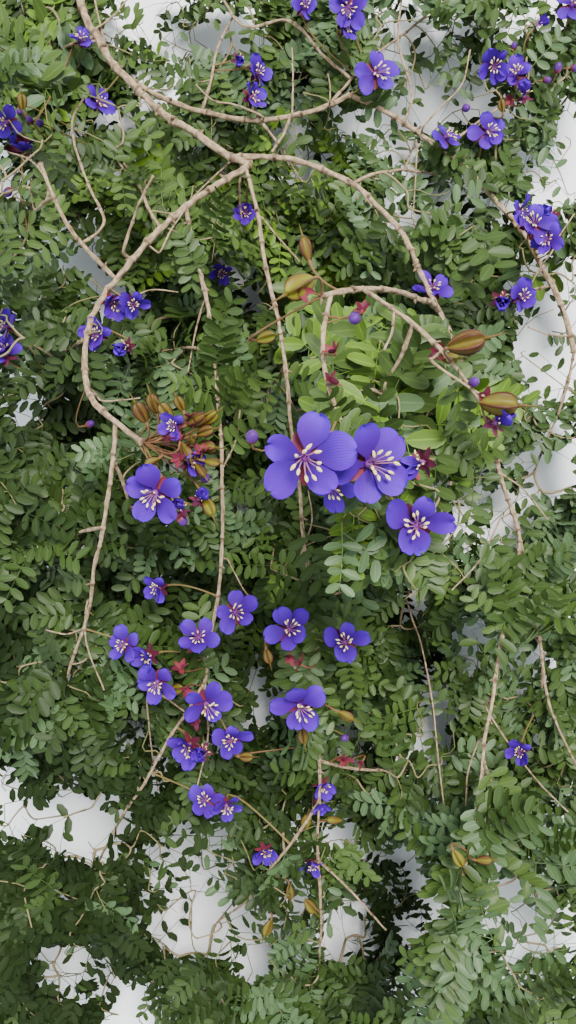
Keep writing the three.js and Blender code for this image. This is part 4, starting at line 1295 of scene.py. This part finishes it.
# %% [markdown]
# Guayacan leaves grow in opposite pairs, here with one more at each free end. Copies on a particle system
# could stand anywhere, also in front of blooms. So each leaf is the best of a few tries: near its mass's
# blades, facing up to the light, leaning a little towards the foot, and hiding no bloom.


# %% Trying a leaf
TRIES = 7
FARTHEST_STRAY = 26


def leaf_turn(axis, face):
    """A turn whose columns are along the leaf, across it and its face's normal."""
    across = unit(np.cross(face, axis))
    return np.stack([axis, across, np.cross(axis, across)], 1)


def try_leaf(base, heading, kind, length, tree, random):
    """The best of several leaves from one foot, or None where there is no good room."""
    best, best_score = None, -math.inf
    shapes = LEAF_SHAPES[kind]
    # Few leaves may cross a limb, but many may reach over an open patch, where they lose leaflets.
    over_limb = 0.2 if random.random() < 0.04 else 0.0
    over_open = random.choice((0.1, 0.6, 1.0))
    for _ in range(TRIES):
        face = unit(UP + random.normal(0, 0.36, 3))
        axis = unit(heading + random.normal(0, 0.28, 3) + (0, -0.22, random.uniform(-0.3, 0.15)))
        size = length * random.uniform(0.8, 1.12) / LEAF_LENGTH
        shape = int(random.integers(len(shapes)))
        corners = shapes[shape][0] * size @ leaf_turn(axis, face).T + base
        where = raster_places(corners)
        if (
            not inside_reach(corners, -1).all()
            or bloom_sight.share_hidden(corners, where) > 0
            or limb_sight.share_hidden(corners, where) > over_limb
            or np.mean(open_patch[where]) > over_open
        ):
            continue
        stray = 0.0
        if tree is not None:
            stray = np.mean([tree.find(base + axis * size * LEAF_LENGTH * s)[2] for s in (0.6, 1.0)])
        score = -stray + 7 * face[2]
        if stray < FARTHEST_STRAY and score > best_score:
            best, best_score = (corners, kind, shape), score
    return best


# %% Kind of a leaf
HIDDEN_BELOW = 30
FRONT_ABOVE = 40
LENGTHS = {"hidden": 28.0, "coarse": 28.0, "plain": 30.0, "long": 33.0, "broad": 36.0}


def spray_root(i, parents, stem_count):
    """The first node of the spray that a node belongs to."""
    while parents[i] >= stem_count:
        i = parents[i]
    return i


def pick_kind(name, height, front):
    """The kind of a node's leaves, and their length."""
    if height < HIDDEN_BELOW:
        return "hidden", LENGTHS["hidden"]
    if front and height > FRONT_ABOVE:
        return "plain", LENGTHS["long" if name == "leaves_fan" else "plain"]
    return "coarse", LENGTHS["coarse"]


# %% Grow the leaves
leaf_list = []
for number, (name, (grown, parents, fronts, stem_count)) in enumerate(trees.items()):
    random = np.random.default_rng(900 + number)
    carries = set(parents)
    spray_green = {}
    for i in range(stem_count, len(grown)):
        place, way = grown[i], directions[name][i]
        tone = tone_of(name, place, fronts[i], random)
        green = pick_green(tone, random)
        if random.random() < 0.4:
            green = spray_green.setdefault((spray_root(i, parents, stem_count), tone), green)
        kind, length = pick_kind(name, place[2], fronts[i])
        if place[2] > FRONT_ABOVE and broad_patch[raster_places(place)] and random.random() < 0.8:
            kind, length = "broad", LENGTHS["broad"]
            green = ("fresh", "mid", "mid", "bluish", "deep")[random.integers(5)]
        side = unit(np.cross(UP + random.normal(0, 0.2, 3), way))
        headings = [0.65 * way + 0.75 * side, 0.65 * way - 0.75 * side]
        if name == "leaves_front":
            headings = headings[:1]
        if i not in carries:
            headings.append(way)
        for heading in headings:
            found = try_leaf(place, heading, kind, length, spread_trees[name], random)
            if found:
                leaf_list.append((green, *found))
print("leaves on the fine twigs:", len(leaf_list))

# %% [markdown]
# Some leaves stand straight on the limbs, here and there on the bare stretches and closely on the rest. Short
# twigs could carry them, but would hardly be seen, so these leaves are grown from a limb's centre line.

# %% Leaves on the limbs
random = np.random.default_rng(31)
for name, line in lines.items():
    bare_from, bare_to = LIMBS[name][-1]
    for along in np.arange(6.0, line.length, 4.5):
        share = along / line.length
        bare = bare_from <= share <= bare_to
        if bare and random.random() < 0.75:
            continue
        way, place = line.tangent(share), line.at(share)
        side = unit(np.cross(UP, way)) * random.choice((-1, 1))
        lean = random.uniform(0.5, 1.0) if bare else random.uniform(0.0, 0.7)
        heading = unit(way * random.choice((-0.5, 1.0)) + lean * side + 0.35 * UP)
        found = try_leaf(place + 1.5 * UP, heading, "plain", LENGTHS["long"], None, random)
        if found:
            leaf_list.append((("mid", "deep", "bluish", "deep")[random.integers(4)], *found))
print("leaves:", len(leaf_list))

# %% [markdown]
# In the real open patches single leaflets stand against the light. Leaving whole leaves out there would give
# empty holes, so a leaf that reaches over a patch loses most of its leaflets there and keeps a few. The
# leaves are joined by colour, since a piece has one material and stays under 200,000 triangles.

# %% Join the leaves by colour
PIECE_TRIANGLES = 180000
RACHIS_CORNERS = RACHIS_RINGS * RACHIS_SIDES
LEFT_IN_OPEN = 0.15


def with_gaps(corners, kind, shape):
    """A leaf's arrays without most of the leaflets that would close an open patch."""
    _, faces, places = LEAF_SHAPES[kind][shape]
    count = LEAFLET_CORNERS[kind]
    is_open = open_patch[raster_places(corners[RACHIS_CORNERS:].reshape(-1, count, 3).mean(1))]
    stays = ~is_open | (dice.random(len(is_open)) < LEFT_IN_OPEN)
    keep = np.concatenate([np.ones(RACHIS_CORNERS, bool), np.repeat(stays, count)])
    faces = (np.cumsum(keep) - 1)[faces[keep[faces[:, 0]]]]
    return corners[keep], faces, places[keep]


dice = np.random.default_rng(55)
for green in GREENS:
    chosen = [leaf for leaf in leaf_list if leaf[0] == green]
    count = sum(2 * len(LEAF_SHAPES[kind][shape][1]) for _, _, kind, shape in chosen)
    parts = max(1, math.ceil(count / PIECE_TRIANGLES))
    for part in range(parts):
        batch = Batch()
        for _, corners, kind, shape in chosen[part::parts]:
            batch.add(*with_gaps(corners, kind, shape))
        label = f"leaves_{green}" if parts == 1 else f"leaves_{green}_{part + 1}"
        build(label, batch, GREENS[green])
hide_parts(*MASSES)

# %% [markdown]
# A guayacan bloom has five broad petals on narrow claws, dark red sepals behind them, and a tuft of curved
# stamens with cream tips round a dark heart. One bloom could be copied, but no two real ones are open alike.
# So eight are made, from wide open to nearly closed, with petals and sepals bent out of small grids.


# %% Petal shape
def petal_shape(random):
    """One petal along +X from the bloom's middle, 15 mm long, cupped and a little ruffled."""
    across_steps, along_steps = 6, 9
    bm = bmesh.new()
    bmesh.ops.create_grid(bm, x_segments=along_steps, y_segments=across_steps, size=0.5)
    places = np.zeros((len(bm.verts), 2))
    cup = random.uniform(0.8, 2.6)
    reflex = random.uniform(-1.0, 2.2)
    fold = random.uniform(0.4, 1.8)
    phase = random.uniform(0, 6.3)
    skew = random.uniform(-1.6, 1.6)
    broad = random.uniform(4.3, 5.3)
    for v in bm.verts:
        along = math.sin((v.co.x + 0.5) * math.pi / 2)
        across = 2 * v.co.y
        grown = max(0.0, (along - 0.16) / 0.84)
        if grown < 0.56:
            wide = math.sin(grown / 0.56 * math.pi / 2) ** 1.15
        else:
            wide = math.sqrt(max(0.0, 1 - ((grown - 0.56) / 0.44) ** 2))
        half = 0.8 + broad * wide
        x = 15 * along - 0.7 * grown * (1 - abs(across)) * (grown > 0.9)
        z = cup * grown * (1.6 - grown) - reflex * grown**3
        z += fold * grown * across**2 + 0.75 * grown**2 * math.sin(4.2 * across + phase)
        places[v.index] = (0.5 + 0.5 * across, along)
        v.co = (x, half * across + skew * grown**2, z)
    corners, faces = arrays_of(bm)
    return corners, faces, places


def sepal_shape(random):
    """One narrow sepal along +X, 8.6 mm long, under the petals."""
    bm = bmesh.new()
    bmesh.ops.create_grid(bm, x_segments=4, y_segments=2, size=0.5)
    for v in bm.verts:
        along, across = v.co.x + 0.5, 2 * v.co.y
        half = 2.3 * math.sin(math.pi * min(0.96, 0.16 + 0.8 * along)) ** 0.7
        v.co = (8.6 * along, across * half, -0.9 + 0.5 * abs(across) - 1.1 * along * random.uniform(0.8, 1.2))
    return arrays_of(bm)


def spin_about_z(corners, degrees, rise=0.0):
    """Corners raised off the ground plane, then turned about +Z, both in degrees."""
    turn = Matrix.Rotation(math.radians(degrees), 3, "Z") @ Matrix.Rotation(-math.radians(rise), 3, "Y")
    return corners @ np.array(turn).T


# %% Whole bloom shapes
def bloom_shape(seed, openness):
    """A bloom round +Z, 30 mm across: batches for its petals, its sepals and its heart."""
    random = np.random.default_rng(seed)
    petals, sepals, heart = Batch(), Batch(), Batch()
    for k in range(5):
        corners, faces, places = petal_shape(random)
        rise = 66 * (1 - openness) + random.uniform(-10, 28)
        twist = Matrix.Rotation(math.radians(random.uniform(-20, 20)), 3, "X")
        corners = corners * random.uniform(0.86, 1.08) @ np.array(twist).T
        corners = spin_about_z(corners, 72 * k + random.uniform(-9, 9), rise)
        petals.add(corners + (0, 0, 0.25 * (k % 2)), faces, places)
        corners, faces = sepal_shape(random)
        sepals.add(spin_about_z(corners, 72 * k + 36), faces, shade=random.uniform(0, 0.7))
    bm = bmesh.new()
    bmesh.ops.create_icosphere(bm, subdivisions=1, radius=1.0)
    corners, faces = arrays_of(bm)
    heart.add(corners * (1.7, 1.7, 1.5) + (0, 0, 1.0), faces, shade=1.0)
    lean = random.uniform(-2.2, 2.2, 2)
    for k in range(10):
        angle = 2 * math.pi * k / 10 + random.uniform(-0.2, 0.2)
        out = np.array([math.cos(angle), math.sin(angle), 0])
        spread_by = random.uniform(2.4, 4.6)
        top = out * spread_by + np.array([lean[0], lean[1], random.uniform(4.6, 6.8)])
        curve = arc(out * 1.1 + (0, 0, 0.8), out * 1.2 + (lean[0] * 0.3, lean[1] * 0.3, 4.4), top)
        heart.add(*tube(curve.spaced(4), np.linspace(0.34, 0.2, 5), 4), shade=0.85)
        tip_way = unit(curve.tangent(1.0) + random.normal(0, 0.3, 3))
        ends = [top + tip_way * reach for reach in (-0.3, 0.5, 1.4, 2.1)]
        heart.add(*tube(ends, np.array([0.25, 0.62, 0.55, 0.2]), 5), shade=0.0)
    return petals, sepals, heart


BLOOM_WIDTH = 30.0
OPENNESS = (1.0, 1.0, 0.92, 0.85, 0.55, 0.45, 0.15, 0.05)
BLOOM_SHAPES = [bloom_shape(seed, openness) for seed, openness in zip(range(11, 99, 12), OPENNESS)]
print("bloom shapes:", len(BLOOM_SHAPES), "petal triangles", BLOOM_SHAPES[0][0].triangles())


# %% [markdown]
# Blooms and pods stand on thin stalks, thicker at both ends. A straight one would meet a bloom from any side,
# so each leaves the nearest limb and comes up in an arc behind its bloom or pod, as in the solids.


# %% Stalks
def grow_stalk(batch, start, place, facing, thick, shade):
    """A stalk from its start on the branch to the back of a thing that faces a way."""
    reach = np.linalg.norm(place - start)
    behind = place - unit(facing) * 0.45 * reach
    points = arc(start, behind, place).spaced(8)
    radii = thick * np.array([1.5, 1.0, 0.9, 0.85, 0.85, 0.9, 1.0, 1.2, 1.5])
    batch.add(*tube(points, radii, 6), shade=shade)


stalk_feet = np.concatenate([line.spaced(60) for line in (*lines.values(), *stems.values())])
feet_tree = tree_of(stalk_feet)


def nearest_on_branch(place):
    """The place on a limb or a mass stem that is nearest to one a little under a thing."""
    return np.array(feet_tree.find(place - np.array([0, 0, 6]))[0])


print("places that stalks may leave from:", len(stalk_feet))

# %% Place the blooms
petals, sepals, hearts, stalks = Batch(), Batch(), Batch(), Batch()


def place_bloom(place, diameter, facing, turn, start, shape):
    """One of the bloom shapes, sized, turned and put at its place, with its stalk."""
    for source, target in zip(BLOOM_SHAPES[shape], (petals, sepals, hearts)):
        for corners, faces, places, shade in zip(source.corners, source.faces, source.places, source.shades):
            moved = turned(corners, place, facing, turn, diameter / BLOOM_WIDTH)
            target.add(moved, faces - faces.min(), places, shade)
    grow_stalk(stalks, start, place - unit(facing) * 0.6, facing, 0.62, 0.35)


for number, (pixel, height, diameter, facing, turn, limb, share) in enumerate(BLOOMS.values()):
    place_bloom(seen(pixel, height), diameter * 1.04, facing, turn, lines[limb].at(share), number % 4)

# %% Place the small and the old blooms
dice = np.random.default_rng(8)
for number, (pixel, width, height, openness) in enumerate(SMALL_BLOOMS):
    place = seen(pixel, height)
    diameter = width * (EYE_HEIGHT - height) / FOCAL_PIXELS
    if openness < 0.6:
        diameter *= 1.25
    facing = unit(UP + dice.normal(0, 0.4 + 0.4 * (1 - openness), 3) * (1, 1, 0.3) - (0, 0.25, 0))
    first = int(np.argmin(np.abs(np.array(OPENNESS) - openness - 0.02 * (number % 3))))
    place_bloom(place, diameter, facing, dice.uniform(0, 72), nearest_on_branch(place), first)
for pixel, height in OLD_BLOOMS:
    place = seen(pixel, height)
    facing = unit(UP + dice.normal(0, 0.6, 3))
    for k in range(5):
        corners, faces = sepal_shape(dice)
        corners = spin_about_z(corners, 72 * k + dice.uniform(-15, 15), dice.uniform(20, 80))
        shrunk = turned(corners, place, facing, size=dice.uniform(0.45, 0.75))
        sepals.add(shrunk, faces, shade=dice.uniform(0.2, 1))
    grow_stalk(stalks, nearest_on_branch(place), place - facing * 0.6, facing, 0.45, 0.7)
bloom_piece = build("petals", petals, PETAL)
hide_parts(*BLOOMS)
build("sepals", sepals, SEPAL)
build("stamens", hearts, ANTHER)

# %% [markdown]
# A pod is an egg with four or five thin wings and a beak, green, orange or dark red, and darker along its
# wings. The wings could be bevelled solids set on an egg, but on the real pod they grow out of it in one
# skin. So the corners of a ball are pushed out along each wing, and carry a shade for its edge.


# %% Pod and bud shapes
def pod_shape(wings):
    """A winged pod on +Z, from -length/2 to length/2; shade is high along the wing edges."""
    bm = bmesh.new()
    bmesh.ops.create_uvsphere(bm, u_segments=8 * wings, v_segments=10, radius=1.0)
    shade = np.zeros(len(bm.verts))
    for v in bm.verts:
        x, y, z = v.co
        angle = math.atan2(y, x)
        round_by = math.hypot(x, y)
        edge = (0.5 + 0.5 * math.cos(wings * angle)) ** 3
        up = (z + 1) / 2
        radius = POD["width"] / 2 * round_by * (0.42 + 0.58 * edge) * (0.72 + 0.42 * up)
        shade[v.index] = edge
        v.co = (radius * math.cos(angle), radius * math.sin(angle), POD["length"] * (up - 0.5))
    corners, faces = arrays_of(bm)
    return corners, faces, shade


POD_SHAPES = [pod_shape(4), pod_shape(5)]
print("pod shapes:", [len(faces) for _, faces, _ in POD_SHAPES], "faces")


def place_pod(pods, place, facing, turn, size, tint, start, number):
    """One of the pod shapes with its beak and its stalk."""
    corners, faces, edge = POD_SHAPES[number % 2]
    shade = np.clip(0.55 * tint + 0.8 * edge**2, 0, 1)
    pods.add(turned(corners, place, facing, turn, size), faces, shade=shade)
    axis = unit(facing)
    length = POD["length"]
    beak = [place + axis * size * reach for reach in (length * 0.44, length * 0.62, length / 2 + POD["beak"])]
    pods.add(*tube(beak, np.array([1.3, 0.6, 0.15]) * size, 6), shade=0.6)
    grow_stalk(stalks, start, place - axis * size * length * 0.45, facing, 0.55, 0.6)


# %% Place the pods
pods, buds = Batch(), Batch()
for number, (_, pixel, height, beak, limb, share, size, tint) in enumerate(PODS):
    place_pod(pods, seen(pixel, height), beak, 20, size, tint, lines[limb].at(share), number)
for number, (pixel, height, beak, tint) in enumerate(SMALL_PODS):
    place = seen(pixel, height)
    size = dice.uniform(0.5, 0.72)
    place_pod(pods, place, beak, dice.uniform(0, 90), size, tint, nearest_on_branch(place), number)
pod_piece = build("pods", pods, POD_SKIN)
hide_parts(*sorted({row[0] for row in PODS}))

# %% Place the buds
bm = bmesh.new()
bmesh.ops.create_uvsphere(bm, u_segments=10, v_segments=8, radius=1.0)
bud, bud_faces = arrays_of(bm)
bud_shade = np.where(bud[:, 2] < -0.1, 1.0, 0.1)
for pixel, height in SMALL_BUDS:
    place = seen(pixel, height)
    facing = unit(UP + dice.normal(0, 0.7, 3))
    moved = turned(bud * (2.3, 2.3, 3.0), place, facing, size=dice.uniform(0.8, 1.15))
    buds.add(moved, bud_faces, shade=bud_shade)
    grow_stalk(stalks, nearest_on_branch(place), place - facing * 2.4, facing, 0.4, 0.5)
build("buds", buds, BUD_SKIN)
build("twigs", twigs, TWIG)
build("stalks", stalks, STALK)

# %% [markdown]
# In daylight a cut branch is lit by a low sun and by the whole sky. A sun lamp alone would give hard black
# shadows, so a wide key lamp stands over the head of the branch, a wider cool one fills from the side, and
# the world adds soft sky. The floor is plain and pale, so that light seems to come through the gaps.


# %% Floor
FLOOR_HALF = 4.0


def plain_material(name, colour, roughness):
    material, shader, _, _ = start_material(name, roughness)
    shader.inputs["Base Color"].default_value = (*colour, 1)
    return material


bm = bmesh.new()
bmesh.ops.create_grid(bm, x_segments=1, y_segments=1, size=FLOOR_HALF)
floor_mesh = bpy.data.meshes.new("floor")
bm.to_mesh(floor_mesh)
bm.free()
floor_mesh.materials.append(plain_material("floor", (0.88, 0.9, 0.92), 0.9))
floor = add_object("floor", floor_mesh)
floor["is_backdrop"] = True
print("floor:", 2 * FLOOR_HALF, "m wide")


# %% Lights
AIM = Vector((0, 0, 0.1))
LAMPS = {
    "key": ((0.32, 0.72, 1.75), 0.7, 92, (1.0, 0.97, 0.92)),
    "fill": ((-1.4, -0.6, 1.5), 1.6, 30, (0.9, 0.95, 1.0)),
}
for name, (place, width, watts, colour) in LAMPS.items():
    data = bpy.data.lights.new(name, "AREA")
    data.shape = "DISK"
    data.size = width
    data.energy = watts
    data.color = colour
    lamp = add_object(name, data)
    lamp.location = place
    lamp.rotation_euler = (AIM - Vector(place)).to_track_quat("-Z", "Y").to_euler()
world = bpy.data.worlds.new("soft sky")
world.use_nodes = True
sky = world.node_tree.nodes["Background"]
sky.inputs["Color"].default_value = (0.86, 0.93, 1.0, 1)
sky.inputs["Strength"].default_value = 1.0
bpy.context.scene.world = world
print("lamps:", ", ".join(LAMPS))

# %% [markdown]
# The camera is the eye of the layout. It could stand upright before an upright branch, but a cut branch lies
# on the floor, so it looks straight down. Its focal length in pixels becomes millimetres on the sensor.

# %% Camera
SENSOR = 36.0
camera_data = bpy.data.cameras.new("camera")
camera_data.sensor_width = SENSOR
camera_data.lens = FOCAL_PIXELS / PICTURE_DOWN * SENSOR
camera_data.clip_start = 0.01
camera = add_object("camera", camera_data)
camera.location = Vector(MOVED * MM) + Vector((0, 0, EYE_HEIGHT * MM))
bpy.context.scene.camera = camera
print("lens:", round(camera_data.lens, 2), "mm, eye at", [round(x, 4) for x in camera.location])

# %% Sizes, and finish
low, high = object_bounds()
sizes = {
    "cad_low": list(cad_low), "cad_high": list(cad_high), "shown_low": list(low), "shown_high": list(high),
}
print("solids", [round(x, 4) for x in (*cad_low, *cad_high)], "shown", [round(x, 4) for x in (*low, *high)])
